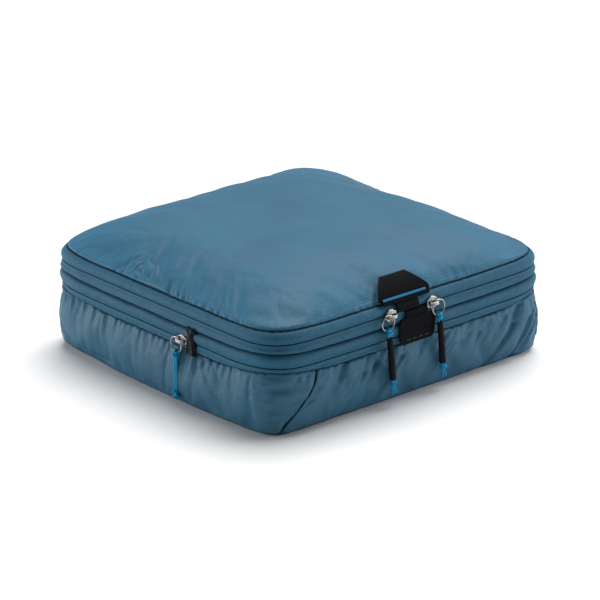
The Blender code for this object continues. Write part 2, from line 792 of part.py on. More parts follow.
def main():
    clear_scene()
    base_pieces()
    upper_frame_pieces()
    lower_tab()
    back_strip_lower()
    lid_pieces()
    lid_axis()
    zip_garage()
    front = (0, -1, 0)
    left = Place((-1, 0, 0), front, -MAIN_LEFT_SLIDER_X, MAIN_SLIT_Z)
    right = Place((1, 0, 0), front, MAIN_RIGHT_SLIDER_X, MAIN_SLIT_Z)
    for prefix, place in (("main_left", left), ("main_right", right)):
        hardware(prefix, place, MAIN_SLIDER_HALF_HEIGHT)
        main_pull(prefix, place)
        hang_pull(prefix, place, ("_cord", "_sleeve", "_knot"))
    place = Place((0, 1, 0), (-1, 0, 0), COMPRESSION_SLIDER_Y, COMPRESSION_SLIT_Z)
    hardware("compression", place, COMPRESSION_SLIDER_HALF_HEIGHT)
    compression_pull("compression", place)
    hang_pull("compression", place, ("_cord", "_knot"))


main()
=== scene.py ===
import math

import bmesh
import bpy
import numpy as np
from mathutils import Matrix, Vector


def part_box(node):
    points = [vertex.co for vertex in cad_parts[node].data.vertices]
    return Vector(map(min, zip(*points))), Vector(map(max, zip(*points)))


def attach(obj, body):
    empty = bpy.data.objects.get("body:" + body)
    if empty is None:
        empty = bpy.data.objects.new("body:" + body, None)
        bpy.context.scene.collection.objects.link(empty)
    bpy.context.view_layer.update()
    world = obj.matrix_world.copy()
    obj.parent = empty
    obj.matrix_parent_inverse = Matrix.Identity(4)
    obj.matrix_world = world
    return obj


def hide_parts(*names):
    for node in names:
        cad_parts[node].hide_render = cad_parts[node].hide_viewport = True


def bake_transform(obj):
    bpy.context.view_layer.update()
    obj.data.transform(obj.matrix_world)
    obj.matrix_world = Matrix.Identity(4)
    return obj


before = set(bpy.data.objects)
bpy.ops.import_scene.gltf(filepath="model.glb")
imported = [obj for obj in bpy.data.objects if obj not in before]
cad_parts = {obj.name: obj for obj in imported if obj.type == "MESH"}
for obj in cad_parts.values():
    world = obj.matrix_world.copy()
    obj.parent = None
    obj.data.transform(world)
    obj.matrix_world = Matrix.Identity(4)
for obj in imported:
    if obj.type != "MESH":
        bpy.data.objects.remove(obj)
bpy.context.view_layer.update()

# ---- measures from the frame

TAPE_INSET = 0.0020
CORNER = 0.058
CORNER_POWER = 3.2
FLOOR_POWER = 5.0
HALF_X, HALF_Y = [reach + TAPE_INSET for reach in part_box("main_tape_upper")[1][:2]]


def middle(node):
    return [(low + high) / 2 for low, high in zip(*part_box(node))]


LOWER_SEAM = middle("lower_seam_binding")[2]
MIDDLE_SEAM = middle("middle_seam_binding")[2]
TOP_SEAM = middle("top_seam_binding")[2]
COMPRESSION_SLIT = middle("compression_slider_body")[2]
MAIN_SLIT = middle("main_right_slider_body")[2]
TOP_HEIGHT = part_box("top_panel")[1].z
FLOOR_INSET = HALF_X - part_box("bottom_panel")[1].x
TOP_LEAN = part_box("middle_seam_binding")[1].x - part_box("top_seam_binding")[1].x
UPPER_TAB_X = middle("upper_tab")[0]
LOWER_TAB_X = middle("lower_tab")[0]
GARAGE_Y = middle("zip_garage")[1]
# quarter turns from a side's middle to its corner seams, which curve on two opposite corners
SEAM_TURN_TOP = 0.310
SEAM_TURN_FOOT = 0.465
STRAIGHT_SEAM_TURN = 0.480
CLOTH_THICKNESS = 0.0004
TAPE_THICKNESS = 0.0007
COIL_INSET = 0.0041
COIL_RADIUS = 0.0009
FLOOR_DROP = 0.0006
UP = np.array((0, 0, 1.0))


def link(made):
    bpy.context.scene.collection.objects.link(made)
    return made


def stand_in(piece, body, slot, *nodes):
    """Put a finished piece on its body and in place of its CAD nodes; its slot is not used."""
    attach(piece, body)
    if nodes:
        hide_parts(*nodes)


def stacked(*values):
    """Arrays as the coordinates of one array of points."""
    return np.stack(np.broadcast_arrays(*values), -1)


def walk(points):
    """Distance along a line at each of its points."""
    return np.concatenate([[0], np.cumsum(np.linalg.norm(np.diff(points, axis=0), axis=1))])


# ---- camera, light and floor

CAMERA_AZIMUTH = math.radians(-41.2)
CAMERA_ELEVATION = math.radians(21.0)
CAMERA_DISTANCE = 2.904
CAMERA_LENS = 198.4
CAMERA_TARGET = Vector((0.0016, -0.0014, 0.0414))


def set_inputs(node, **values):
    for name, value in values.items():
        node.inputs[name.replace("_", " ")].default_value = value


def put(name, data, direction, place=(0, 0, 0)):
    """A camera or a light at a place, looking along a direction."""
    made = link(bpy.data.objects.new(name, data))
    made.location = place
    made.rotation_mode = "QUATERNION"
    made.rotation_quaternion = direction.to_track_quat("-Z", "Y")
    return made


def camera_and_light():
    lens = bpy.data.cameras.new("camera")
    lens.lens = CAMERA_LENS
    lens.sensor_width = 36.0
    back = Vector((
        math.sin(CAMERA_AZIMUTH) * math.cos(CAMERA_ELEVATION),
        -math.cos(CAMERA_AZIMUTH) * math.cos(CAMERA_ELEVATION),
        math.sin(CAMERA_ELEVATION),
    ))
    scene = bpy.context.scene
    scene.camera = put("camera", lens, -back, CAMERA_TARGET + back * CAMERA_DISTANCE)

    for name, place, size, power in (
        ("left_fill", (-1.25, 1.30, 0.34), (2.0, 0.64), 23.0),
        ("right_fill", (0.95, -0.78, 0.33), (0.7, 0.5), 6.4),
    ):
        light = bpy.data.lights.new(name, "AREA")
        light.shape = "RECTANGLE"
        light.size, light.size_y = size
        light.energy = power
        put(name, light, Vector((0.0, 0.0, 0.05)) - Vector(place), place)
    lamp = bpy.data.lights.new("overhead", "SUN")
    lamp.energy = 3.6
    lamp.angle = math.radians(52)
    put("overhead", lamp, Vector((-0.43, -0.24, -0.87)))
    scene.world = bpy.data.worlds.new("studio")
    scene.world.use_nodes = True
    white = (1.0, 1.0, 1.0, 1.0)
    set_inputs(scene.world.node_tree.nodes["Background"], Color=white, Strength=0.11)
    scene.view_settings.view_transform = "Standard"

    reach = 14.0
    floor_mesh = bpy.data.meshes.new("floor")
    corners = [(-reach, -reach, 0), (reach, -reach, 0), (reach, reach, 0), (-reach, reach, 0)]
    floor_mesh.from_pydata(corners, [], [(0, 1, 2, 3)])
    floor = link(bpy.data.objects.new("floor", floor_mesh))
    floor.location.z = -FLOOR_DROP
    pale = bpy.data.materials.new("pale_floor")
    pale.use_nodes = True
    set_inputs(pale.node_tree.nodes["Principled BSDF"], Base_Color=(0.93, 0.93, 0.93, 1.0),
               Roughness=0.9, Specular_IOR_Level=0.1)
    floor_mesh.materials.append(pale)


# ---- plan outline

def plan_point(turns, inset, power=CORNER_POWER):
    """Plan points of the rounded outline, for arrays of quarter turns from the middle of +X."""
    turns, inset, power = np.broadcast_arrays(
        np.asarray(turns, float), np.asarray(inset, float), np.asarray(power, float))
    quarter = np.floor(turns).astype(int) % 4
    share = turns - np.floor(turns)
    radius = CORNER - inset
    straight_x, straight_y = HALF_X - CORNER, HALF_Y - CORNER
    along_x = np.where(quarter % 2 == 0, straight_x, straight_y)
    along_y = np.where(quarter % 2 == 0, straight_y, straight_x)
    angle = np.radians(90) * np.clip((share - 0.3) / 0.4, 0, 1)
    across = np.abs(np.cos(angle)) ** (2.0 / power)
    up = np.abs(np.sin(angle)) ** (2.0 / power)
    x = along_x * np.clip((1 - share) / 0.3, 0, 1) + radius * np.where(share > 0.7, 0, across)
    y = along_y * np.clip(share / 0.3, 0, 1) + radius * np.where(share < 0.3, 0, up)
    for quarters in (1, 2, 3):
        turned = quarter >= quarters
        x, y = np.where(turned, -y, x), np.where(turned, x, y)
    return x, y


TURN_TABLE = np.linspace(0, 4, 4001)
_X, _Y = plan_point(np.mod(TURN_TABLE, 4.0), 0.0)
LENGTH_TABLE = np.concatenate([[0], np.cumsum(np.hypot(np.diff(_X), np.diff(_Y)))])
PERIMETER = LENGTH_TABLE[-1]


def turn_at(length):
    """Quarter turns at a distance along the outline."""
    laps = np.floor(np.asarray(length, float) / PERIMETER)
    return np.interp(length - laps * PERIMETER, LENGTH_TABLE, TURN_TABLE) + 4 * laps


def length_at(turn):
    laps = np.floor(np.asarray(turn, float) / 4)
    return np.interp(turn - 4 * laps, TURN_TABLE, LENGTH_TABLE) + PERIMETER * laps


def wall_point(length, inset, height, power=CORNER_POWER):
    """Points of the wall at a distance along it, an inset and a height, as one array."""
    x, y = plan_point(turn_at(length), inset, power)
    return stacked(x, y, height)


def lap(count):
    """Even distances round the whole outline."""
    return np.linspace(0, PERIMETER, count, endpoint=False)


def apart(length, place):
    """Signed distance round the outline from a place."""
    return np.mod(length - place + PERIMETER / 2, PERIMETER) - PERIMETER / 2


LEFT_MIDDLE = length_at(2.0)
FRONT_MIDDLE = length_at(3.0)
GARAGE_LENGTH = LEFT_MIDDLE - GARAGE_Y


def smooth(value):
    value = np.clip(value, 0, 1)
    return value * value * (3 - 2 * value)


def ripple(length, height, seed, wave, count=10, stretch=1.0):
    """Smooth noise about -1 to 1 that closes round the outline. stretch is tallness over width."""
    rng = np.random.default_rng(seed)
    total = 0.0
    for _ in range(count):
        laps = max(1, round(PERIMETER / wave * rng.uniform(0.5, 1.6)))
        rise = rng.uniform(-1.0, 1.0) / (wave * stretch)
        phase = rng.uniform(0, 2 * np.pi)
        total = total + np.sin(2 * np.pi * (laps * length / PERIMETER + rise * height) + phase)
    return total / math.sqrt(count) * 0.75


def folds(length, depth, spread, seed, width, reach, deep, slant=0.0, start=None):
    """A sum of separate creases, one at each place in spread, that run down from depth 0 or from
    start. width, reach, deep and start are (least, most) pairs."""
    rng = np.random.default_rng(seed)
    total = np.zeros(np.broadcast(length, depth).shape)
    for place in spread:
        wide, long, tall = [rng.uniform(*pair) for pair in (width, reach, deep)]
        lean = slant + rng.uniform(-0.18, 0.18)
        below = depth - (0.0 if start is None else rng.uniform(*start))
        away = apart(length, place + lean * below)
        wider = wide * (1 + 0.6 * np.clip(below, 0, None) / long)
        fade = np.exp(-np.clip(below, 0, None) / long) * smooth(below / 0.004 + 0.5)
        total = total - tall * fade * np.exp(-0.5 * (away / wider) ** 2)
    return total


def spots(seed, first, last, count):
    """Uneven places along the wall between two distances."""
    rng = np.random.default_rng(seed)
    step = (last - first) / count
    return first + step * (np.arange(count) + rng.uniform(0.1, 0.9, count))


CORNER_LENGTHS = length_at(np.array([0.5, 1.5, 2.5, 3.5]))
SEAM_SHAPES = {
    # resting offset, rise at the corners, reach of that rise, slow wander, fast wander, seed
    "lower": (-0.0022, 0.0055, 0.040, 0.0004, 0.00030, 11),
    "slit": (0.0, 0.0012, 0.040, 0.0002, 0.0, 14),
    "middle": (-0.0010, 0.0026, 0.045, 0.0003, 0.00008, 12),
    "top": (-0.0006, 0.0016, 0.045, 0.0003, 0.00016, 13),
}


def near_corner(length, reach):
    """1 at the four corners, fading along the sides."""
    length = np.asarray(length, float)
    away = np.abs(apart(length[..., None], CORNER_LENGTHS))
    return np.exp(-(away.min(-1) / reach) ** 2)


def seam_wave(length, level):
    """How far a seam wanders up and down along its length."""
    rest, rise, reach, slow, fast, seed = SEAM_SHAPES[level]
    wave = rest + rise * near_corner(length, reach) + slow * ripple(length, 0.0, seed, 0.09, 6)
    wave = wave + fast * ripple(length, 0.0, seed + 20, 0.009, 8)
    if level == "lower":
        wave = wave - 0.0008 * np.exp(-0.5 * ((length - GARAGE_LENGTH) / 0.018) ** 2)
    return wave


# ---- mesh helpers

def grid_mesh(name, points, chart, look, closed=(False, False), caps=False):
    """A mesh from a grid of points. chart holds each point's flat place in metres, for the weave.
    closed says whether rows and columns join up; caps closes the first and last row."""
    rows, columns = points.shape[:2]
    row_count = rows if closed[0] else rows - 1
    column_count = columns if closed[1] else columns - 1
    r, c = np.meshgrid(np.arange(row_count), np.arange(column_count), indexing="ij")
    r2, c2 = (r + 1) % rows, (c + 1) % columns
    faces = np.stack([r * columns + c, r * columns + c2, r2 * columns + c2, r2 * columns + c], -1)
    faces = faces.reshape(-1, 4)
    flat = chart.reshape(-1, 2)
    corner_chart = flat[faces].copy()
    if closed[1]:
        last = (c == columns - 1).reshape(-1)
        step = chart[:, -1, 0] - chart[:, 0, 0]
        width = float(np.abs(step).max()) * columns / (columns - 1) * np.sign(step.sum())
        corner_chart[last, 1:3, 0] += width
    corner_chart = corner_chart.reshape(-1, 2)
    faces = faces.tolist()
    if caps:
        ends = [np.arange(columns)[::-1], (rows - 1) * columns + np.arange(columns)]
        corner_chart = np.concatenate([corner_chart, flat[ends[0]], flat[ends[1]]])
        faces += [end.tolist() for end in ends]
    mesh = bpy.data.meshes.new(name)
    mesh.from_pydata(points.reshape(-1, 3).tolist(), [], faces)
    mesh.validate()
    layer = mesh.uv_layers.new(name="chart")
    layer.data.foreach_set("uv", corner_chart.reshape(-1).astype(np.float32))
    mesh.materials.append(look)
    mesh.shade_smooth()
    return link(bpy.data.objects.new(name, mesh))


def thicken(piece, thickness, offset=-1.0):
    """Give a surface its thickness, inwards for offset -1 and outwards for 1."""
    modifier = piece.modifiers.new("thickness", "SOLIDIFY")
    modifier.thickness = thickness
    modifier.offset = offset


def resample(points, count):
    """Evenly spaced points along a smooth curve through the given ones."""
    points = np.asarray(points, float)
    padded = np.vstack([2 * points[0] - points[1], points, 2 * points[-1] - points[-2]])
    t = np.linspace(0, 1, 16, endpoint=False)[:, None]
    dense = []
    for a, b, c, d in zip(padded, padded[1:], padded[2:], padded[3:]):
        dense.append(0.5 * (2 * b + (c - a) * t + (2 * a - 5 * b + 4 * c - d) * t ** 2
                            + (3 * b - a - 3 * c + d) * t ** 3))
    dense = np.vstack([*dense, points[-1:]])
    passed = walk(dense)
    target = np.linspace(0, passed[-1], count)
    return stacked(*[np.interp(target, passed, dense[:, axis]) for axis in range(3)])


def tube(name, points, radius, look, sides=12, closed=False, squash=1.0):
    """A round tube along points, with a chart of (distance along, distance round)."""
    points = np.asarray(points, float)
    count = len(points)
    if closed:
        tangent = np.roll(points, -1, 0) - np.roll(points, 1, 0)
    else:
        tangent = np.gradient(points, axis=0)
    tangent /= np.linalg.norm(tangent, axis=1)[:, None]
    side = np.cross(tangent[0], (0.31, 0.52, 0.79))
    frames = []
    for direction in tangent:
        side = side - direction * (side @ direction)
        side /= np.linalg.norm(side)
        frames.append(side)
    frames = np.array(frames)
    if closed:
        twist = math.atan2(np.cross(frames[-1], frames[0]) @ tangent[0], frames[-1] @ frames[0])
        turn = twist * np.arange(count) / count
        other = np.cross(tangent, frames)
        frames = frames * np.cos(turn)[:, None] + other * np.sin(turn)[:, None]
    other = np.cross(tangent, frames)
    radii = np.broadcast_to(np.asarray(radius, float), (count,))
    angle = np.arange(sides) * 2 * np.pi / sides
    offset = frames[:, None] * np.cos(angle)[None, :, None]
    offset = offset + other[:, None] * np.sin(angle)[None, :, None] * squash
    grid = points[:, None] + offset * radii[:, None, None]
    chart = stacked(angle * float(radii.mean()), walk(points)[:, None])
    return grid_mesh(name, grid, chart, look, closed=(closed, True), caps=not closed)


def join(name, pieces):
    """Join finished pieces that are one sub-part into one object."""
    first = pieces[0]
    with bpy.context.temp_override(
        active_object=first, object=first, selected_objects=pieces, selected_editable_objects=pieces,
    ):
        bpy.ops.object.join()
    first.name = name
    first.data.name = name
    return first


# ---- materials

class Nodes:
    """A short way to write a material's node tree. place, u and v are the flat place in metres."""

    def __init__(self, name):
        self.material = bpy.data.materials.new(name)
        self.material.use_nodes = True
        self.tree = self.material.node_tree
        self.shader = self.tree.nodes["Principled BSDF"]
        self.place = self.put("ShaderNodeUVMap", uv_map="chart").outputs[0]
        self.u, self.v = self.put("ShaderNodeSeparateXYZ", self.place).outputs[:2]

    def put(self, kind, *inputs, **settings):
        made = self.tree.nodes.new(kind)
        for key, value in settings.items():
            setattr(made, key, value)
        for socket, value in zip(made.inputs, inputs):
            self.feed(socket, value)
        return made

    def feed(self, socket, value):
        if isinstance(value, bpy.types.NodeSocket):
            self.tree.links.new(value, socket)
        elif value is not None:
            socket.default_value = value

    def math(self, operation, *inputs):
        return self.put("ShaderNodeMath", *inputs, operation=operation).outputs[0]

    def times(self, first, second):
        return self.math("MULTIPLY", first, second)

    def add(self, first, second):
        return self.math("ADD", first, second)

    def highest(self, first, second):
        return self.math("MAXIMUM", first, second)

    def wave(self, value, period):
        return self.math("SINE", self.times(value, 2 * math.pi / period))

    def noise(self, scale, detail=3.0, roughness=0.5, place=None):
        made = self.put("ShaderNodeTexNoise", place or self.place, noise_dimensions="3D")
        set_inputs(made, Scale=scale, Detail=detail, Roughness=roughness)
        return made.outputs[0]

    def line(self, value, period, width):
        """1 on thin lines every period along value, and 0 between them."""
        away = self.math("PINGPONG", value, period / 2)
        return self.ramp(away, width * 0.35, width * 0.75, 1.0, 0.0)

    def ramp(self, value, low, high, out_low=0.0, out_high=1.0):
        return self.put("ShaderNodeMapRange", value, low, high, out_low, out_high).outputs[0]

    def mix(self, share, first, second):
        made = self.put("ShaderNodeMix", data_type="RGBA")
        for socket, value in ((0, share), (6, first), (7, second)):
            self.feed(made.inputs[socket], value)
        return made.outputs[2]

    def tones(self, value, low, high, colour, dark, light):
        """A colour at two strengths, mixed by where a value lies between low and high."""
        return self.mix(self.ramp(value, low, high), rgba(colour, dark), rgba(colour, light))

    def bump(self, height, distance, before=None):
        made = self.put("ShaderNodeBump")
        set_inputs(made, Strength=1.0, Distance=distance)
        self.feed(made.inputs["Height"], height)
        self.feed(made.inputs["Normal"], before)
        return made.outputs[0]

    def finish(self, colour, roughness, normal=None, **plain):
        for name, value in (("Base Color", colour), ("Roughness", roughness), ("Normal", normal)):
            self.feed(self.shader.inputs[name], value)
        set_inputs(self.shader, **plain)
        return self.material


def rgba(colour, gain=1.0):
    return (*[min(1.0, channel * gain) for channel in colour], 1.0)


TEAL = (0.024, 0.108, 0.178)
TOP_TEAL = (0.026, 0.124, 0.208)
TAPE_TEAL = (0.021, 0.112, 0.190)
BLACK = (0.0062, 0.0066, 0.0084)
BLUE = (0.003, 0.330, 0.640)
NICKEL = 0.34


def ripstop(name, colour, sheen=0.30):
    """Thin ripstop nylon: a raised grid of thicker threads, a fine plain weave and a soft sheen."""
    grid, grid_thread, thread = 0.0024, 0.00050, 0.00045
    n = Nodes(name)
    lines = n.highest(n.line(n.u, grid, grid_thread), n.line(n.v, grid, grid_thread))
    weave = n.times(n.wave(n.u, thread), n.wave(n.v, thread))
    cloud = n.noise(22.0, 4.0)
    speck = n.noise(900.0, 2.0)
    crumple = n.noise(160.0, 4.0, 0.6)
    base = n.tones(cloud, 0.3, 0.7, colour, 0.90, 1.12)
    base = n.mix(n.times(lines, 0.30), base, rgba(colour, 1.75))
    base = n.mix(n.ramp(speck, 0.35, 0.75, 0.0, 0.16), base, rgba(colour, 0.55))
    rough = n.ramp(cloud, 0.3, 0.7, 0.46, 0.56)
    normal = n.bump(crumple, 0.00055)
    normal = n.bump(lines, 0.00006, normal)
    normal = n.bump(weave, 0.000018, normal)
    return n.finish(base, rough, normal, Specular_IOR_Level=sheen)


def zip_tape(name, row):
    """Woven tape: fine slanted ribs, fine long ribs and one sewn row at the given distance. Painted shade
    lies between the slanted ribs and in the sewn row's groove, with a painted highlight on the rib crests.
    """
    n = Nodes(name)
    ribs = n.wave(n.add(n.u, n.times(n.v, 0.55)), 0.00105)
    cross = n.wave(n.v, 0.00055)
    dash = n.ramp(n.math("PINGPONG", n.u, 0.0012), 0.00018, 0.00034)
    away = n.math("ABSOLUTE", n.math("SUBTRACT", n.v, row))
    stitch = n.ramp(away, 0.00016, 0.00030, 1.0, 0.0)
    groove_and_shade = n.ramp(away, 0.00025, 0.00080, 1.0, 0.0)
    thread = n.times(stitch, dash)
    cloud = n.noise(60.0, 4.0)
    # painted shade between the slanted ribs and a painted highlight on their crests
    base = n.tones(ribs, -0.6, 0.9, TAPE_TEAL, 0.72, 1.22)
    base = n.mix(n.ramp(cloud, 0.3, 0.7, 0.0, 0.35), base, rgba(TAPE_TEAL, 0.80))
    # painted shade in the sewn row's groove
    base = n.mix(n.times(groove_and_shade, 0.45), base, rgba(TAPE_TEAL, 0.42))
    base = n.mix(n.times(thread, 0.85), base, rgba(TAPE_TEAL, 1.35))
    height = n.add(n.times(ribs, 0.5), n.times(cross, 0.2))
    normal = n.bump(height, 0.00007)
    normal = n.bump(n.math("SUBTRACT", n.times(thread, 1.3), groove_and_shade), 0.00022, normal)
    normal = n.bump(n.noise(190.0, 3.0), 0.00030, normal)
    return n.finish(base, 0.58, normal, Specular_IOR_Level=0.2)


def slanted_rows(name, slant, period, low, high, dark, light, roughness, depth, **plain):
    """Rows of threads or turns that slant, raised by depth, with painted shade between them and a painted
    highlight on their crests.
    """
    n = Nodes(name)
    rows = n.wave(n.add(n.u, n.times(n.v, slant)), period)
    # painted shade in the troughs between the rows and a painted highlight on their crests
    base = n.mix(n.ramp(rows, low, high), dark, light)
    return n.finish(base, roughness, n.bump(rows, depth), **plain)


def binding_cloth(name):
    """Dark piping: fine slanted threads. Its near-black is partly painted shade of the seam creases, and it
    has painted shade between the threads.
    """
    return slanted_rows(name, 1.0, 0.0009, -0.7, 0.9, rgba(BLACK, 0.7), rgba((0.012, 0.018, 0.024)),
                        0.8, 0.00008, Specular_IOR_Level=0.1)


def coil_plastic(name, colour):
    """Coil zipper teeth seen from the side: a tight row of turns, with painted shade between the turns and a
    painted highlight on them.
    """
    return slanted_rows(name, 0.25, 0.0013, -0.6, 0.8, rgba(colour, 0.30), rgba(colour, 1.25), 0.38, 0.00035)


def thread_look(name, colour, roughness=0.55):
    """Twisted sewing thread, with painted shade between its twists and a painted highlight on them."""
    return slanted_rows(name, 1.4, 0.0007, -0.8, 0.8, rgba(colour, 0.62), rgba(colour, 1.25),
                        roughness, 0.00006, Specular_IOR_Level=0.3)


def coated_tab(name):
    """Black coated webbing with a fine pebbled face and patches of wear that vary its blackness at random."""
    n = Nodes(name)
    pebble = n.noise(2600.0, 3.0, 0.6)
    wear = n.noise(240.0, 4.0, 0.6)
    base = n.tones(wear, 0.45, 0.8, BLACK, 0.55, 1.0)
    rough = n.ramp(wear, 0.3, 0.75, 0.50, 0.64)
    return n.finish(base, rough, n.bump(pebble, 0.00006), Specular_IOR_Level=0.035)


def braided_cord(name, colour):
    """Braided cord: two crossing sets of strands with a few pale flecks, and painted shade between the
    strands.
    """
    n = Nodes(name)
    one = n.wave(n.add(n.v, n.u), 0.0011)
    two = n.wave(n.math("SUBTRACT", n.v, n.u), 0.0011)
    braid = n.highest(one, two)
    fleck = n.ramp(n.noise(900.0, 1.0), 0.66, 0.72)
    fleck = n.times(fleck, n.ramp(one, 0.2, 0.6))
    # painted shade between the strands and a painted highlight on them
    base = n.tones(braid, 0.1, 0.95, colour, 0.60, 1.2)
    base = n.mix(fleck, base, rgba((0.42, 0.62, 0.74)))
    return n.finish(base, 0.58, n.bump(braid, 0.00014), Specular_IOR_Level=0.3)


def shrink_sleeve(name):
    """Matte black rubber sleeve with faint lengthwise streaks."""
    n = Nodes(name)
    streak = n.put("ShaderNodeMapping", n.place)
    set_inputs(streak, Scale=(3.0, 0.12, 1.0))
    lines = n.noise(700.0, place=streak.outputs[0])
    scuff = n.noise(420.0, 4.0, 0.65)
    base = n.tones(scuff, 0.5, 0.8, BLACK, 0.6, 1.4)
    rough = n.ramp(scuff, 0.3, 0.7, 0.42, 0.60)
    return n.finish(base, rough, n.bump(lines, 0.00010), Specular_IOR_Level=0.09)


def nickel(name):
    """Cast and tumbled nickel: bright, with soft grain and slightly duller patches at random."""
    n = Nodes(name)
    place = n.put("ShaderNodeTexCoord").outputs["Object"]
    grain = n.noise(1800.0, 4.0, 0.6, place)
    dull = n.noise(380.0, place=place)
    base = n.mix(n.ramp(dull, 0.35, 0.7), rgba((1.0, 0.97, 0.95), NICKEL), rgba((0.78, 0.76, 0.76), NICKEL))
    rough = n.ramp(dull, 0.3, 0.7, 0.17, 0.33)
    return n.finish(base, rough, n.bump(grain, 0.000012), Metallic=1.0)


# ---- cloth simulation

CLOTH_FRAMES = 20
CLOTH_LIMIT = 0.0012


def settle(name, points, step, growth, pressure):
    """Simulate a coarse copy of a cloth grid, sewn down at its edges, cut a little too large and
    pushed out by the filling. Returns how far each point of the full grid moves."""
    picks = [np.unique(np.append(np.arange(0, count, step), count - 1)) for count in points.shape[:2]]
    coarse = points[np.ix_(*picks)]
    trial = grid_mesh(name + "_trial", coarse, coarse[..., :2], None)
    sewn = np.ones(coarse.shape[:2], bool)
    sewn[1:-1, 1:-1] = False
    trial.vertex_groups.new(name="sewn").add(np.flatnonzero(sewn).tolist(), 1.0, "REPLACE")
    cloth = trial.modifiers.new("cloth", "CLOTH").settings
    for setting, value in (
        ("vertex_group_mass", "sewn"), ("quality", 6), ("mass", 0.1), ("bending_stiffness", 0.05),
        ("use_pressure", True), ("uniform_pressure_force", pressure), ("shrink_min", -growth),
    ):
        setattr(cloth, setting, value)
    cloth.effector_weights.gravity = 0.0
    scene = bpy.context.scene
    for number in range(1, CLOTH_FRAMES + 1):
        scene.frame_set(number)
    settled = trial.evaluated_get(bpy.context.evaluated_depsgraph_get()).data
    moved = np.empty(coarse.size, np.float32)
    settled.vertices.foreach_get("co", moved)
    shift = moved.reshape(coarse.shape) - coarse
    scene.frame_set(1)
    bpy.data.objects.remove(trial)
    far = np.linalg.norm(shift, axis=-1, keepdims=True)
    shift = shift * np.minimum(1.0, CLOTH_LIMIT / np.maximum(far, 1e-9))
    blur = np.ones(step) / step
    for axis, pick in enumerate(picks):
        fine = np.arange(points.shape[axis])
        shift = np.apply_along_axis(lambda line: np.interp(fine, pick, line), axis, shift)
        shift = np.apply_along_axis(lambda line: np.convolve(line, blur, "same"), axis, shift)
    return shift


# ---- pouch

def pouch_inset(share, length):
    """Inset of the wall, where the filling pushes the foot of the left side out in its middle."""
    bulge = 0.0016 * np.sin(np.pi * share)
    inset = TAPE_INSET * share ** 4 + FLOOR_INSET * (1 - share) ** 2 - bulge
    return inset - left_bulge(length) * (1 - share) ** 1.2


def left_bulge(length):
    return 0.0058 * np.exp(-np.abs((length - LEFT_MIDDLE - 0.010) / 0.098) ** 4)


def pouch_height(share, length, foot, top):
    height = foot + (top - foot) * share + np.zeros_like(length)
    return height + seam_wave(length, "lower") * smooth((share - 0.5) * 2)


def pouch_power(share):
    return CORNER_POWER + (FLOOR_POWER - CORNER_POWER) * (1 - share) ** 2


def corner_seam_turn(share):
    """The curved corner seams, on two opposite corners; the other two run straight down."""
    return SEAM_TURN_TOP + (SEAM_TURN_FOOT - SEAM_TURN_TOP) * (1 - np.clip(share, 0, 1)) ** 2


def pouch_relief(length, height, share):
    """How far the pouch cloth stands in or out: gathers under the seam, slanting pulls, slack."""
    depth = (LOWER_SEAM - 0.0015) - height
    left_first, left_last = length_at(1.52), length_at(2.40)
    rows = [
        # places, seed, widths, reaches, depths, slant, starts
        (spots(1, left_first, left_last, 62), 2, (0.0009, 0.0018), (0.005, 0.016), (0.0009, 0.0028), -0.05),
        (spots(3, length_at(2.62), left_first + PERIMETER, 120), 4, (0.0010, 0.0020), (0.004, 0.012),
         (0.0004, 0.0016), -0.30),
        # broad uprights at the left side's far end
        (spots(15, length_at(1.42), length_at(1.78), 6), 16, (0.0028, 0.0048), (0.026, 0.044),
         (0.0009, 0.0018), 0.10),
    ]
    # pulls that fan out from the zip garage
    rows += [([GARAGE_LENGTH + offset], seed, (0.0014, 0.0022), (0.014, 0.024), (tall, tall * 1.2), lean)
             for seed, offset, lean, tall in (
                 (40, 0.003, 0.45, 0.0030), (41, 0.009, 0.65, 0.0026), (42, -0.006, -0.20, 0.0022),
                 (43, 0.015, 0.80, 0.0020), (44, -0.012, -0.30, 0.0018), (45, 0.022, 0.80, 0.0017))]
    # slanting folds on the front: below the tab, and by both corners
    rows += [(FRONT_MIDDLE + np.linspace(first, last, count), seed, (0.0014, 0.0028),
              (reach * 0.5, reach), (tall * 0.45, tall), -0.80, (-0.002, 0.016))
             for seed, first, last, count, tall, reach in (
                 (5, -0.078, -0.018, 8, 0.0040, 0.030), (6, 0.052, 0.126, 8, 0.0030, 0.018),
                 (18, 0.116, 0.152, 5, 0.0052, 0.044), (19, 0.036, 0.060, 3, 0.0030, 0.030),
                 (7, 0.010, 0.050, 5, 0.0022, 0.020), (8, -0.112, -0.085, 4, 0.0014, 0.016))]
    rows += [(length_at(turn) + np.linspace(-0.11, 0.11, 18), seed, (0.0020, 0.0045), (0.012, 0.030),
              (0.0006, 0.0018), 0.5, (0.0, 0.016)) for seed, turn in ((9, 1.0), (10, 4.0))]
    relief = sum(folds(length, depth, *row) for row in rows)
    # flat waves across the corner panels
    level = np.exp(-((length - length_at(2.52)) / 0.034) ** 2) * smooth((share - 0.15) / 0.4)
    relief += level * 0.0014 * ripple(length, height, 17, 0.060, 8, 0.16)
    slack = 0.0008 * ripple(length, height, 30, 0.060, 10, 0.9)
    slack += 0.0003 * ripple(length, height, 31, 0.024, 12, 1.2)
    relief = relief + slack * smooth(share / 0.12) * smooth((1.0 - share) / 0.05)
    # the cords of the pulls slide past just below the seam
    return np.clip(relief, -0.0060, 0.0016 - 0.0015 * smooth((share - 0.70) / 0.20))


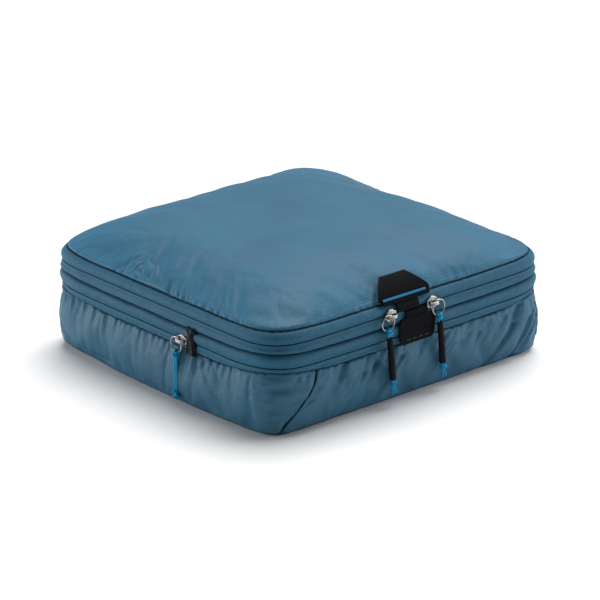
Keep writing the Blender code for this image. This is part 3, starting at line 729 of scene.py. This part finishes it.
def pouch_panel(side, middle_turn, seams, columns, rows, look):
    """One wall of gathered cloth, tucked into the lower seam and the floor seam. seams gives the
    quarter turns from its middle back to one corner seam and on to the other, at each share."""
    name = f"pouch_{side}_cloth"
    foot, top = 0.0001, LOWER_SEAM + 0.0002
    seam_gap = 0.0006
    share = np.linspace(0, 1, rows)[:, None]
    before, after = seams(share)
    step = np.linspace(-1, 1, columns)[None, :]
    start = length_at(middle_turn - before + seam_gap) + np.zeros_like(share)
    end = length_at(middle_turn + after - seam_gap) + np.zeros_like(share)
    length = start + (end - start) * (step + 1) / 2
    height = pouch_height(share, length, foot, top)
    inset = pouch_inset(share, length) - pouch_relief(length, height, share)
    # rolled edges: into the lower seam, under the floor, and at the two corner seams
    inset = inset + 0.0030 * (1 - smooth((1 - share) / 0.045))
    inset = inset + 0.0022 * (1 - smooth(share / 0.09)) ** 2
    away = np.minimum(length - start, end - length)
    inset = inset + 0.0016 * np.exp(-away / 0.0012)
    inset = inset + 0.0007 * np.exp(-away / 0.006) * ripple(length * 0.2, height, 77, 0.010, 8, 0.6)
    points = wall_point(length, inset, height, pouch_power(share))
    # the gathers hold the cloth firm under the seam
    give = 1 - 0.7 * smooth((share - 0.66) / 0.14)
    points = points + settle(name, points, step=4, growth=0.012, pressure=2.0) * give[..., None]
    piece = grid_mesh(name, points, stacked(length, height), look)
    thicken(piece, CLOTH_THICKNESS)
    stand_in(piece, "base", "pouch_fabric", f"pouch_{side}_panel")


def long_side_seams(share):
    return corner_seam_turn(share), STRAIGHT_SEAM_TURN


def short_side_seams(share):
    return 1.0 - STRAIGHT_SEAM_TURN, 1.0 - corner_seam_turn(share)


def corner_seams(look):
    """The dark sewn seams that curve down the four corners of the pouch; their near-black is partly painted
    shade of the seam creases.
    """
    lines = []
    share = np.linspace(0.0, 0.985, 60)
    curved, straight = corner_seam_turn(share), np.full_like(share, STRAIGHT_SEAM_TURN)
    for turn in (1.0 - curved, 1.0 + straight, 3.0 - curved, 3.0 + straight):
        length = length_at(turn)
        height = pouch_height(share, length, 0.0004, LOWER_SEAM - 0.0004)
        inset = pouch_inset(share, length) + 0.0008 + 0.0020 * (1 - smooth(share / 0.09)) ** 2
        inset = inset - 0.7 * pouch_relief(length, height, share)
        line = wall_point(length, inset, height, pouch_power(share))
        lines.append(tube("corner_seam", line, 0.00060, look, 8))
    piece = join("pouch_corner_seams", lines)
    stand_in(piece, "base", "seam_binding")


def bottom_panel(look):
    """The floor of the cube: a flat sheet with rounded corners and slight slack near its seam."""
    length = lap(480)[None, :]
    rim = np.linspace(0.0, 1.0, 40)[:, None]
    x, y = plan_point(turn_at(length), FLOOR_INSET + 0.0023 - left_bulge(length), FLOOR_POWER)
    shrink = 1 - rim * 0.985
    height = 0.0009 * (1 - smooth(rim / 0.04)) + 0.0002 * np.abs(ripple(length, rim * 0.3, 51, 0.05, 8))
    points = stacked(x * shrink, y * shrink, height * smooth(rim / 0.02 + 0.5))[::-1]
    piece = grid_mesh("bottom_panel_cloth", points, points[..., :2], look, closed=(False, True))
    close_middle(piece)
    stand_in(piece, "base", "pouch_fabric", "bottom_panel")


def close_middle(piece):
    """Fill the small opening left in the middle of a ring of rows."""
    work = bmesh.new()
    work.from_mesh(piece.data)
    work.verts.ensure_lookup_table()
    centre = [edge for edge in work.edges if edge.is_boundary and edge.verts[0].co.xy.length < 0.05]
    bmesh.ops.holes_fill(work, edges=centre, sides=0)
    work.to_mesh(piece.data)
    work.free()
    piece.data.shade_smooth()


# ---- zipper bands

def band_piece(node, body, low, high, look, seed, profile):
    """A soft zipper tape round the cube. low and high are its edges' heights along the wall, and
    profile gives (share up the band, inset) points."""
    share = np.linspace(0, 1, 22)[:, None]
    length = lap(900)[None, :]
    low_line = low(length)
    height = low_line + (high(length) - low_line) * share
    inset = np.interp(share, *zip(*profile)) + np.zeros_like(height)
    middle_share = np.sin(np.pi * np.clip(share, 0, 1))
    inset = inset - 0.00030 * ripple(length, height, seed, 0.045, 8, 0.5) * middle_share
    inset = inset - 0.00016 * ripple(length, height, seed + 1, 0.012, 10, 0.8) * middle_share
    chart = stacked(length, height - low_line.mean())
    piece = grid_mesh(node + "_cloth", wall_point(length, inset, height), chart, look, closed=(False, True))
    thicken(piece, TAPE_THICKNESS)
    stand_in(piece, body, "zip_tape", node)


def line_at(height, level=None):
    """A height along the wall that follows a seam's wandering, or stays straight."""
    return lambda length: height + (seam_wave(length, level) if level else np.zeros_like(length))


def zipper_bands():
    lip = 0.00014
    compression_tape = zip_tape("compression_tape_cloth", 0.0030)
    for row in (
        ("compression_tape_lower", "base", line_at(LOWER_SEAM - 0.0012, "lower"),
         line_at(COMPRESSION_SLIT - lip, "slit"), compression_tape, 60,
         [(0.0, 0.0050), (0.12, 0.0030), (0.28, 0.0021), (0.60, 0.0019), (0.95, 0.0021), (1.0, 0.0032)]),
        ("compression_tape_upper", "upper_frame", line_at(COMPRESSION_SLIT + lip, "slit"),
         line_at(MIDDLE_SEAM + 0.0003, "middle"), compression_tape, 62,
         [(0.0, 0.0032), (0.03, 0.0021), (0.16, 0.0014), (0.40, 0.0005), (0.65, 0.0005), (0.82, 0.0014),
          (0.93, 0.0030), (1.0, 0.0054)]),
        ("main_tape_lower", "upper_frame", line_at(MIDDLE_SEAM - 0.0003, "middle"),
         line_at(MAIN_SLIT - lip), zip_tape("main_tape_cloth", 0.0076), 64,
         [(0.0, 0.0054), (0.07, 0.0032), (0.17, 0.0018), (0.36, 0.0010), (0.60, 0.0017), (0.82, 0.0021),
          (0.97, 0.0025), (1.0, 0.0034)]),
        ("main_tape_upper", "lid", line_at(MAIN_SLIT + lip), line_at(TOP_SEAM, "top"),
         zip_tape("lid_tape_cloth", 0.0022), 66,
         [(0.0, 0.0034), (0.03, 0.0024), (0.20, 0.0019), (0.40, 0.0016), (0.60, 0.0021), (0.78, 0.0035),
          (0.90, 0.0050), (0.97, 0.0064), (1.0, 0.0084)]),
    ):
        band_piece(*row)


def round_tube(node, suffix, body, slot, look, inset, height, radius, length):
    """A thin closed tube round the cube, at an inset and a height for each distance."""
    piece = tube(node + suffix, wall_point(length, inset, height), radius, look, 8, closed=True)
    stand_in(piece, body, slot, node)


def seam_bindings(look):
    length = lap(1100)
    wear = 1 + 0.22 * ripple(length, 0.0, 90, 0.008, 8)
    # the near-black piping is partly painted shade of the seam grooves
    for level, body, height, inset, radius in (
        ("lower", "base", LOWER_SEAM, 0.0032, 0.00060),
        ("middle", "upper_frame", MIDDLE_SEAM, 0.0036, 0.00075),
        ("top", "lid", TOP_SEAM, 0.0022 + TOP_LEAN, 0.00032),
    ):
        round_tube(level + "_seam_binding", "_cloth", body, "seam_binding", look, inset,
                   height + seam_wave(length, level), radius * wear, length)


def zipper_coils():
    look = coil_plastic("coil_plastic", (0.030, 0.095, 0.140))
    length = lap(1200)
    for node, body in (
        ("compression_coil_lower", "base"), ("compression_coil_upper", "upper_frame"),
        ("main_coil_lower", "upper_frame"), ("main_coil_upper", "lid"),
    ):
        height = middle(node)[2]
        if node.startswith("compression"):
            height = height + seam_wave(length, "slit")
        round_tube(node, "_teeth", body, "zip_coil", look, COIL_INSET, height, COIL_RADIUS, length)


def gusset(look):
    """The pleated wall behind the compression zipper, which opens out as the cube expands. This piece is
    baked in place on no body, so it does not open.
    """
    share = np.linspace(0, 1, 61)[:, None]
    length = lap(520)[None, :]
    low = LOWER_SEAM + 0.0006
    high = MIDDLE_SEAM - 0.0006
    height = low + (high - low) * share + np.zeros_like(length)
    pleats = 3
    zigzag = np.abs(np.mod(share * pleats + 0.5, 1.0) * 2 - 1)
    pleat = 0.0068 + 0.0050 * (1 - smooth(zigzag))
    ends = 1 - smooth(np.minimum(share, 1 - share) / 0.04)
    inset = pleat * (1 - ends) + 0.0052 * ends
    inset = inset + 0.0008 * ripple(length, share * 0.05, 70, 0.03, 8) * (1 - ends)
    piece = grid_mesh("expansion_gusset_cloth", wall_point(length, inset, height),
                      stacked(length, share * 0.048), look, closed=(False, True))
    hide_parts("expansion_gusset")
    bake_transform(piece)


def hinge_strip(look):
    """The strip of cloth that the lid turns on, across the back of the main zipper."""
    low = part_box("lid_hinge_strip_lower")[0]
    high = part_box("lid_hinge_strip_upper")[1]
    x = np.linspace(low.x, high.x, 90)[None, :]
    z = np.linspace(low.z, high.z, 41)[:, None]
    y = high.y + 0.0004 + 0.0001 * ripple(x, z, 80, 0.02, 8)
    y = y - 0.0012 * (np.exp(-(z - low.z) / 0.0012) + np.exp(-(high.z - z) / 0.0012))
    piece = grid_mesh("lid_hinge_strip_cloth", stacked(x, y, z)[:, ::-1], stacked(x[:, ::-1], z), look)
    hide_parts("lid_hinge_strip_lower", "lid_hinge_strip_upper")
    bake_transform(piece)


# ---- top panel

DOME_REACH = 0.024


def dome_height(share, diagonal=0.0):
    """Height over the top seam at a share of the way to the middle, before any relief. diagonal is
    1 on the lines to the corners, where the cloth is pulled flatter."""
    foot = TOP_SEAM + 0.0012
    crown = TOP_HEIGHT - foot - DOME_REACH
    rise = DOME_REACH * (1 - np.exp(-share * HALF_Y / DOME_REACH))
    rise = (rise + crown * (1 - (1 - share) ** 2)) * (1 - 0.30 * diagonal * np.exp(-share / 0.25))
    return foot + rise


def top_relief(length, away):
    """Puckers that run in from the top seam and one crumpled patch by the left side."""
    rows = [
        # places, seed, widths, reaches, depths, slant, starts
        (spots(100, 0, PERIMETER, 130), 101, (0.0010, 0.0020), (0.003, 0.008), (0.0002, 0.0006), 0.1),
        (spots(106, LEFT_MIDDLE + 0.010, LEFT_MIDDLE + 0.118, 22), 107, (0.0010, 0.0019), (0.008, 0.018),
         (0.0008, 0.0020), -0.60),
        (spots(108, FRONT_MIDDLE - 0.118, FRONT_MIDDLE - 0.040, 16), 109, (0.0010, 0.0019),
         (0.006, 0.014), (0.0007, 0.0017), 0.75),
        (spots(110, FRONT_MIDDLE + 0.016, FRONT_MIDDLE + 0.075, 11), 111, (0.0011, 0.0019),
         (0.005, 0.012), (0.0004, 0.0009), 0.75),
    ]
    rows += [(LEFT_MIDDLE + np.linspace(first, last, count), seed, (0.0011, 0.0020),
              (reach * 0.5, reach), (0.0010, 0.0022), slant, (0.0, start))
             for seed, first, last, count, slant, reach, start in (
                 (112, -0.050, -0.020, 7, -0.35, 0.016, 0.006), (113, -0.046, -0.012, 6, -0.85, 0.014, 0.016),
                 (114, -0.034, -0.004, 5, -1.30, 0.012, 0.026), (115, -0.060, -0.048, 3, 0.45, 0.012, 0.030))]
    return sum(folds(length, away, *row) for row in rows)


def top_panel(look):
    """The domed lid cloth on a square grid bent to the rounded outline."""
    axis = np.linspace(-1, 1, 321)
    u, v = np.meshgrid(axis, axis, indexing="xy")
    ring = np.maximum(np.abs(u), np.abs(v))
    safe = np.maximum(ring, 1e-9)
    a, b = u / safe, v / safe
    turn = np.where(np.abs(a) >= np.abs(b), np.where(a > 0, b * 0.5, 2.0 - b * 0.5),
                    np.where(b > 0, 1.0 - a * 0.5, 3.0 + a * 0.5))
    turn = np.mod(turn, 4.0)
    length = length_at(turn)
    # even steps along each side keep the grid square in the middle
    share = 1 - ring
    x, y = plan_point(turn, TOP_LEAN + 0.0016)
    blend_in = smooth(ring / 0.9)
    margin = 0.004
    x = x * ring * blend_in + u * (HALF_X - TOP_LEAN - margin) * (1 - blend_in)
    y = y * ring * blend_in + v * (HALF_Y - TOP_LEAN - margin) * (1 - blend_in)
    away = share * HALF_Y
    rise = dome_height(share, np.abs(a * b))
    relief = top_relief(length, away) * smooth(ring / 0.45)
    slack = 0.0010 * ripple(x + 0.6, y, 103, 0.12, 8)
    slack += 0.00035 * ripple(x + y * 0.4 + 0.3, y, 104, 0.045, 10)
    slack += 0.00008 * ripple(x + 0.4, y, 105, 0.014, 12)
    relief = relief + slack * smooth(share / 0.05)
    slope = np.exp(-away / DOME_REACH)
    tuck = 1 - smooth(share / 0.012)
    height = rise + relief * (1 - 0.45 * slope) - 0.0009 * tuck
    height = height + seam_wave(length, "top") * smooth(1 - share / 0.06)
    # the filling sits a little towards the back and leaves the right side lower
    back = np.clip(b, 0, 1) ** 2 * (0.5 + 0.5 * a)
    sag = 0.0036 * back - 0.0042 * np.clip(a, 0, 1) ** 2
    height = height + sag * smooth(share / 0.06) * np.exp(-share / 0.3)
    outward = relief * 0.7 * slope - 0.0014 * tuck
    reach = np.maximum(np.hypot(x, y), 1e-6)
    points = stacked(x + outward * x / reach, y + outward * y / reach, height)
    points = points + settle("top_panel_cloth", points, step=5, growth=0.004, pressure=0.12)
    piece = grid_mesh("top_panel_cloth", points, stacked(x + 0.6, y + 0.6), look)
    thicken(piece, CLOTH_THICKNESS)
    stand_in(piece, "lid", "top_fabric", "top_panel")


# ---- tabs and garage

STRAP_HALF = 0.0125
STRAP_THICKNESS = 0.0009


def front_height(out_share):
    """Out and height of the lid's front surface, over the dome."""
    edge = TAPE_INSET + TOP_LEAN
    return -edge - out_share * (HALF_Y - edge), dome_height(out_share)


def soften(piece, width, segments, angle=math.radians(30)):
    """Round a piece's edges, then bake its modifiers into its mesh."""
    bevel = piece.modifiers.new("soft_edge", "BEVEL")
    bevel.width = width
    bevel.segments = segments
    bevel.limit_method = "ANGLE"
    bevel.angle_limit = angle
    graph = bpy.context.evaluated_depsgraph_get()
    mesh = bpy.data.meshes.new_from_object(piece.evaluated_get(graph))
    piece.modifiers.clear()
    piece.data = mesh


def sheet_strip(name, centre, path, halves, thickness, look, lift=0.0):
    """A strip on the front that follows (out, height) points, with a half width at each."""
    path = np.array(path, float)
    run = np.gradient(path, axis=0)
    run /= np.linalg.norm(run, axis=1)[:, None]
    path = path + stacked(run[:, 1], -run[:, 0]) * lift
    x = np.outer(halves, np.linspace(-1, 1, 17))
    points = stacked(centre + x, -HALF_Y - path[:, :1], path[:, 1:])
    piece = grid_mesh(name, points, stacked(x + 0.1, walk(path)[:, None]), look)
    thicken(piece, thickness, 1.0)
    soften(piece, min(0.00035, thickness * 0.35), 2)
    return piece


def upper_tab(look):
    """The strap folded round the lid tape's edge and the plate that it holds. Returns its path."""
    path = [(-0.0040, MAIN_SLIT + 0.0022), (-0.0032, MAIN_SLIT + 0.0010), (-0.0014, MAIN_SLIT + 0.0008),
            (-0.0003, MAIN_SLIT + 0.0016), (0.0, MAIN_SLIT + 0.0035), (-0.0010, TOP_SEAM - 0.0032),
            (-0.0030, TOP_SEAM - 0.0010), (-0.0046, TOP_SEAM + 0.0008)]
    strap = sheet_strip("upper_strap", UPPER_TAB_X, path, [STRAP_HALF] * len(path), STRAP_THICKNESS, look)
    path = [(-0.0018, TOP_SEAM - 0.0012), (-0.0034, TOP_SEAM + 0.0008)]
    halves = [0.0255, 0.0272]
    for share in np.linspace(0.0, 0.116, 15)[1:]:
        out, height = front_height(share)
        path.append((out + 0.0016, height + 0.0014))
        halves.append(np.interp(share, (0.0, 0.012, 0.116), (0.0280, 0.0290, 0.0145)))
    plate = sheet_strip("upper_plate", UPPER_TAB_X, path, halves, 0.0011, look, 0.0002)
    piece = join("upper_tab_webbing", [plate, strap])
    stand_in(piece, "lid", "tab", "upper_tab")
    return path


def stitch_bar(path, look):
    """A satin-stitched bar: side by side threads near the front edge of the upper tab."""
    low, high = np.array(path[2]), np.array(path[3])
    run = (high - low) / np.linalg.norm(high - low)
    normal = np.array([run[1], -run[0]])
    start = low - run * 0.0030 + normal * 0.0013
    end = start + run * 0.0020
    crown = (start + end) / 2 + normal * 0.00055
    bar_left, bar_right, spacing = -0.0255, 0.0225, 0.00052
    threads = []
    for x in np.arange(bar_left, bar_right, spacing):
        arch = [(UPPER_TAB_X + x, -HALF_Y - spot[0], spot[1]) for spot in
                (start, start * 0.75 + end * 0.25 + normal * 0.00042, crown,
                 start * 0.25 + end * 0.75 + normal * 0.00042, end)]
        threads.append(tube("thread", resample(arch, 7), 0.00030, look, 6))
    piece = join("tab_stitch_bar_threads", threads)
    stand_in(piece, "lid", "bright_thread", "tab_stitch_bar")


def lower_tab(look, thread):
    path = [(-0.0002, MIDDLE_SEAM + 0.0022), (-0.0002, MAIN_SLIT - 0.0035), (-0.0004, MAIN_SLIT - 0.0016),
            (-0.0014, MAIN_SLIT - 0.0008), (-0.0032, MAIN_SLIT - 0.0010), (-0.0040, MAIN_SLIT - 0.0022)]
    strap = sheet_strip("lower_strap", LOWER_TAB_X, path, [STRAP_HALF] * len(path), STRAP_THICKNESS, look)
    # the hanging tab's rounded outline, as heights and half widths
    heights = (0.0505, 0.0516, 0.0532, 0.0552, 0.0580, 0.0620, 0.0660, 0.0700, 0.0718, 0.0730, 0.0738)
    halves = (0.0160, 0.0174, 0.0190, 0.0200, 0.0204, 0.0204, 0.0204, 0.0201, 0.0194, 0.0178, 0.0150)
    path = [(0.0005 + 0.0003 * math.sin(height * 400), height) for height in heights]
    plate = sheet_strip("lower_plate", LOWER_TAB_X, path, halves, 0.0010, look)
    piece = join("lower_tab_webbing", [plate, strap])
    stand_in(piece, "upper_frame", "tab", "lower_tab")
    dash_half, dash_height = 0.0021, 0.0542
    dashes = []
    for x in LOWER_TAB_X + np.linspace(-0.0105, 0.0105, 4):
        line = [(x + step, -HALF_Y - out, dash_height) for step, out in
                ((-dash_half, 0.00165), (0.0, 0.00195), (dash_half, 0.00165))]
        dashes.append(tube("dash", resample(line, 8), 0.00032, thread, 6))
    stitches = join("lower_tab_stitches", dashes)
    stand_in(stitches, "upper_frame", "bright_thread")


def zip_garage(look):
    """Dense black stitching over the end of the compression zipper: a bartack with crossed rails."""
    rng = np.random.default_rng(200)
    low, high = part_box("zip_garage")
    half = (high.y - low.y) / 2
    face = -(HALF_X - 0.0002)
    threads = []
    for rise in np.linspace(0, 1, 34):
        height = low.z + (high.z - low.z) * rise
        waist = half * (1.0 - 0.34 * math.exp(-((rise - 0.72) / 0.14) ** 2)) * rng.uniform(0.90, 1.08)
        tilt = rng.uniform(-0.0009, 0.0009)
        crest = 0.0011 + rng.uniform(0, 0.0005)
        arch = [(face - out, GARAGE_Y + waist * side, height + tilt * np.sign(side)) for side, out in
                ((-1, -0.0022), (-0.82, 0.0003), (0, crest), (0.82, 0.0003), (1, -0.0022))]
        threads.append(tube("thread", resample(arch, 12), 0.00044, look, 6))
    for side in (-1, 1):
        rail = [(face - 0.0014, GARAGE_Y + side * half * lean, low.z + (high.z - low.z) * rise)
                for lean, rise in ((0.7, 0.02), (0.5, 0.4), (-0.1, 0.72), (-0.7, 0.98))]
        threads.append(tube("rail", resample(rail, 24), 0.00060, look, 6))
    piece = join("zip_garage_threads", threads)
    stand_in(piece, "base", "garage_thread", "zip_garage")


# ---- sliders, rings and pulls

WIRE = 0.00075
RING_OUT = 0.0022
RING_ALONG = 0.0048
RING_DROP = 0.0048
RING_RADIUS = 0.0068
CORD = 0.00105
SLEEVE_OUT = 0.0040
SLEEVE_RADIUS = 0.0029
SLEEVE_LENGTH = 0.040
STRAND_HALF = 0.00125
HITCH_LENGTH = 0.0045
KNOT_SIZE = 0.0034
PULL_LEAN = math.radians(6)


class Place:
    """A slider's own frame: along the zipper, out of the wall, and up."""

    def __init__(self, prefix, along, outward):
        self.prefix = prefix
        self.along = np.array(along, float)
        self.outward = np.array(outward, float)
        low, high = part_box(prefix + "_slider_body")
        centre = np.array((low + high) / 2)
        wall = HALF_X if abs(self.outward[0]) > 0.5 else HALF_Y
        across = self.along * (centre @ self.along)
        self.base = across + self.outward * wall + UP * centre[2]
        self.ring_foot = self.at(RING_ALONG, RING_OUT, -RING_DROP - RING_RADIUS)

    def at(self, along, out, up):
        return self.base + self.along * along + self.outward * out + UP * up

    def stand_in(self, piece, body, slot, *nodes):
        stand_in(piece, self.prefix + body, slot, *[self.prefix + node for node in nodes])


def solid_from_plan(name, place, corners, low, high, look, bevel=0.0004, segments=3):
    """A plate whose outline is (along, up) points, from out=low to out=high, softly bevelled."""
    work = bmesh.new()
    foot = [work.verts.new(place.at(a, low, b)) for a, b in corners]
    face = work.faces.new(foot)
    lifted = bmesh.ops.extrude_face_region(work, geom=[face])["geom"]
    shift = Vector(place.outward * (high - low))
    lifted = [item for item in lifted if isinstance(item, bmesh.types.BMVert)]
    bmesh.ops.translate(work, verts=lifted, vec=shift)
    bmesh.ops.recalc_face_normals(work, faces=work.faces[:])
    mesh = bpy.data.meshes.new(name)
    work.to_mesh(mesh)
    work.free()
    mesh.materials.append(look)
    made = link(bpy.data.objects.new(name, mesh))
    soften(made, bevel, segments, math.radians(50))
    made.data.shade_smooth()
    made.data.set_sharp_from_angle(angle=math.radians(60))
    return made


def slider(place, half, look):
    """Cast slider: shield-shaped outer plate with rolled flanges, inner plate and the web."""
    reach = 0.0062
    nose = [(reach * math.cos(angle), half * 0.98 * math.sin(angle)) for angle in
            np.radians(np.linspace(-62, 62, 9))]
    shoulder = [(-0.0010, half), (-0.0026, half * 0.86), (-reach, half * 0.62)]
    outline = nose + shoulder + [(-reach * 1.02, 0.0)] + [(a, -b) for a, b in reversed(shoulder)]
    parts = [solid_from_plan("plate", place, outline, -0.0012, 0.0004, look, 0.0005)]
    raised = [(a * 0.62, b * 0.55) for a, b in outline]
    parts.append(solid_from_plan("boss", place, raised, 0.0002, 0.0009, look, 0.0003))
    for side in (-1, 1):
        flange = [(a * 0.96, b) for a, b in ((-0.0040, half * 0.62), (-0.0012, half * 0.95),
                                             (0.0018, half * 0.90), (0.0036, half * 0.66))]
        line = [place.at(a, -0.0006, side * b) for a, b in flange]
        parts.append(tube("flange", resample(line, 16), 0.00055, look, 10))
    inner = [(a * 0.98, b * 0.72) for a, b in outline]
    parts.append(solid_from_plan("inner_plate", place, inner, -0.0062, -0.0053, look, 0.0003))
    web = [(0.0040, 0.0003), (-0.0012, 0.0003), (-0.0012, -0.0003), (0.0040, -0.0003)]
    parts.append(solid_from_plan("web", place, web, -0.0056, -0.0010, look, 0.0001, 1))
    piece = join(place.prefix + "_slider_cast", parts)
    place.stand_in(piece, "_slider", "hardware", "_slider_body")


def crown(place, look):
    """The arch over the slider that the wire ring passes through."""
    top = RING_OUT + WIRE + 0.00100
    foot = 0.0047
    side = [(foot, 0.0002), (foot * 1.02, top * 0.5), (foot * 0.86, top * 0.86), (foot * 0.5, top)]
    arch = [(-a, out) for a, out in side] + [(0.0, top + 0.00010)] + side[::-1]
    line = resample([place.at(a, out, 0.0) for a, out in arch], 34)
    parts = [tube("crown", line + UP * rise, radius, look, 12) for rise, radius in
             ((-0.00095, 0.00062), (0.00095, 0.00062), (0.0, 0.00056))]
    piece = join(place.prefix + "_slider_arch", parts)
    place.stand_in(piece, "_slider", "hardware", "_slider_crown")


def ring(place, look):
    angle = np.linspace(0, 2 * np.pi, 96, endpoint=False)
    centre = place.at(RING_ALONG, RING_OUT, -RING_DROP)
    line = centre + np.outer(np.cos(angle), place.along) * RING_RADIUS
    line = line + np.outer(np.sin(angle), UP) * RING_RADIUS
    piece = tube(place.prefix + "_wire_ring", line, WIRE, look, 16, closed=True)
    place.stand_in(piece, "_ring", "hardware", "_pull_ring")


def hitch_route(place, side):
    """Where a strand leaves the top of the wire and passes down in front of it or behind it."""
    clear = WIRE + CORD + 0.0003
    out, aside = place.outward * side, place.along * side * 0.0005
    return [place.ring_foot + UP * (clear + 0.0001),
            place.ring_foot + out * clear * 0.75 + UP * clear * 0.75 + aside * 0.5,
            place.ring_foot + out * (clear + 0.0002) - UP * 0.0012 + aside]


def knot_and_tails(place, start, axis, tail, look, size=KNOT_SIZE):
    """An overhand knot in the doubled cord, with two short cut tails."""
    other = np.cross(axis, place.outward)
    turn = np.linspace(0, 2 * np.pi, 90, endpoint=False)
    a = (np.sin(turn) + 2 * np.sin(2 * turn)) / 3
    b = (np.cos(turn) - 2 * np.cos(2 * turn)) / 3
    c = -np.sin(3 * turn) * 0.42
    centre = start + axis * size * 0.95
    line = centre + np.outer(b, axis) * size + np.outer(a, other) * size * 0.80
    line = line + np.outer(c, place.outward) * size
    parts = [tube("knot", line, CORD * 1.02, look, 10, closed=True)]
    for side, bend in ((-1, 0.0013), (1, 0.0022)):
        tip = centre + axis * (size * 0.5 + tail) + other * side * bend + place.outward * 0.0012
        route = [centre + axis * size * 0.3 + other * side * 0.0006,
                 centre + axis * (size * 0.6 + tail * 0.4) + other * side * 0.0012, tip]
        route = resample(route, 12)
        fray = CORD * np.interp(np.linspace(0, 1, 12), (0, 0.8, 1), (0.95, 0.95, 1.12))
        parts.append(tube("tail", route, fray, look, 10))
    return join(place.prefix + "_knot_cord", parts)


def hitch_wrap(place, look):
    """The bight of the hitch: a loop drawn tight round both strands, and the two turns over the wire."""
    foot = place.ring_foot
    turn = np.linspace(0, 2 * np.pi, 48, endpoint=False)
    centre = foot - UP * 0.0022 + place.outward * 0.0018
    line = centre + np.outer(np.cos(turn), place.along) * 0.0020
    line = line + np.outer(np.sin(turn), place.outward) * 0.0020
    line[:, 2] += 0.0007 * np.sin(turn) + 0.0004 * np.cos(2 * turn)
    loops = [tube("wrap", line, CORD * 0.92, look, 10, closed=True)]
    turn = np.linspace(-0.4 * np.pi, 1.25 * np.pi, 26)
    radius = WIRE + CORD * 0.95
    # flatter on the inside, next to the cloth
    swing = np.where(np.cos(turn) < 0, 0.74, 1.0) * np.cos(turn)
    over = foot - UP * 0.0003 + np.outer(np.sin(turn), UP) * radius + np.outer(swing, place.outward) * radius
    for side in (-1, 1):
        loops.append(tube("wrap", over + place.along * side * 0.0017, CORD * 0.8, look, 10))
    return join(place.prefix + "_hitch_cord", loops)


def pull_strands(place, start, axis, length, spacing, look):
    """The two strands that run from the hitch on the ring down to the knot, as (piece, points)."""
    strands = []
    for label, side in (("front", 1), ("back", -1)):
        points = hitch_route(place, side) + [start + spacing * side + axis * 0.0004]
        points += [start + spacing * side + axis * length * step / 6 for step in range(1, 7)]
        points = resample(points, 34)
        piece = tube(f"{place.prefix}_cord_{label}", points, CORD, look, 12)
        place.stand_in(piece, "_pull", "pull_cord")
        strands.append((piece, points))
    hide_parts(place.prefix + "_cord")
    return strands


def finish_pull(place, knot_start, axis, tail, look, wrap_drop=0.0):
    """The hitch's bight and the knot of a pull."""
    wrap = hitch_wrap(place, look)
    wrap.location.z = -wrap_drop
    place.stand_in(wrap, "_pull", "pull_cord")
    knot = knot_and_tails(place, knot_start, axis, tail, look)
    place.stand_in(knot, "_pull", "pull_cord", "_knot")


def main_pull(place, look, rubber):
    axis = np.array((math.sin(PULL_LEAN), 0.0, -math.cos(PULL_LEAN)))
    start = place.ring_foot + place.outward * (SLEEVE_OUT - RING_OUT) - UP * HITCH_LENGTH
    spacing = place.along - axis * (place.along @ axis)
    spacing = spacing / np.linalg.norm(spacing) * STRAND_HALF
    strands = pull_strands(place, start, axis, SLEEVE_LENGTH + 0.0020, spacing, look)
    steps = np.linspace(0, 1, 60)
    line = start + np.outer(0.0006 + steps * (SLEEVE_LENGTH - 0.0006), axis)
    line = line + np.outer(np.sin(steps * np.pi) * 0.0004, place.outward)
    ends = np.minimum(1, np.minimum(steps, 1 - steps) / 0.025)
    taper = np.interp(steps, (0.0, 0.7, 1.0), (0.86, 1.0, 1.02))
    radius = SLEEVE_RADIUS * taper * (0.84 + 0.16 * np.sqrt(ends)) * (1 + 0.012 * np.sin(steps * 21))
    sleeve = tube(place.prefix + "_sleeve_rubber", line, radius, rubber, 28, squash=0.94)
    place.stand_in(sleeve, "_pull", "pull_sleeve", "_sleeve")
    finish_pull(place, start + axis * SLEEVE_LENGTH, axis, 0.0075, look)


def compression_pull(place, look):
    start = place.ring_foot + place.outward * 0.0008 - UP * HITCH_LENGTH
    strands = pull_strands(place, start, -UP, 0.0300, place.along * STRAND_HALF, look)
    finish_pull(place, start - UP * 0.0295, -UP, 0.0030, look, wrap_drop=0.0010)


# ---- the whole cube

def main():
    camera_and_light()
    cord_look = braided_cord("braided_cord", BLUE)
    rubber = shrink_sleeve("shrink_sleeve")
    metal = nickel("nickel")
    left = Place("main_left", (-1, 0, 0), (0, -1, 0))
    right = Place("main_right", (1, 0, 0), (0, -1, 0))
    small = Place("compression", (0, 1, 0), (-1, 0, 0))
    main_pull(left, cord_look, rubber)
    main_pull(right, cord_look, rubber)
    compression_pull(small, cord_look)
    for place, half_height in ((left, 0.0056), (right, 0.0056), (small, 0.0044)):
        slider(place, half_height, metal)
        crown(place, metal)
        ring(place, metal)

    pouch_cloth = ripstop("pouch_ripstop", TEAL)
    top_cloth = ripstop("top_ripstop", TOP_TEAL, 0.23)
    bottom_panel(pouch_cloth)
    for side, turn, seams, columns, rows in (
        ("front", 3.0, long_side_seams, 460, 72), ("back", 1.0, long_side_seams, 300, 64),
        ("left", 2.0, short_side_seams, 540, 72), ("right", 4.0, short_side_seams, 380, 64),
    ):
        pouch_panel(side, turn, seams, columns, rows, pouch_cloth)
    binding = binding_cloth("seam_binding_cloth")
    seam_bindings(binding)
    corner_seams(binding)
    zipper_bands()
    zipper_coils()
    gusset(pouch_cloth)
    hinge_strip(pouch_cloth)
    top_panel(top_cloth)

    tab_look = coated_tab("coated_tab")
    path = upper_tab(tab_look)
    stitch_bar(path, thread_look("bright_thread", (0.003, 0.230, 0.470)))
    lower_tab(tab_look, thread_look("teal_thread", (0.010, 0.110, 0.170)))
    zip_garage(thread_look("garage_thread", (0.004, 0.004, 0.006), roughness=0.30))


main()
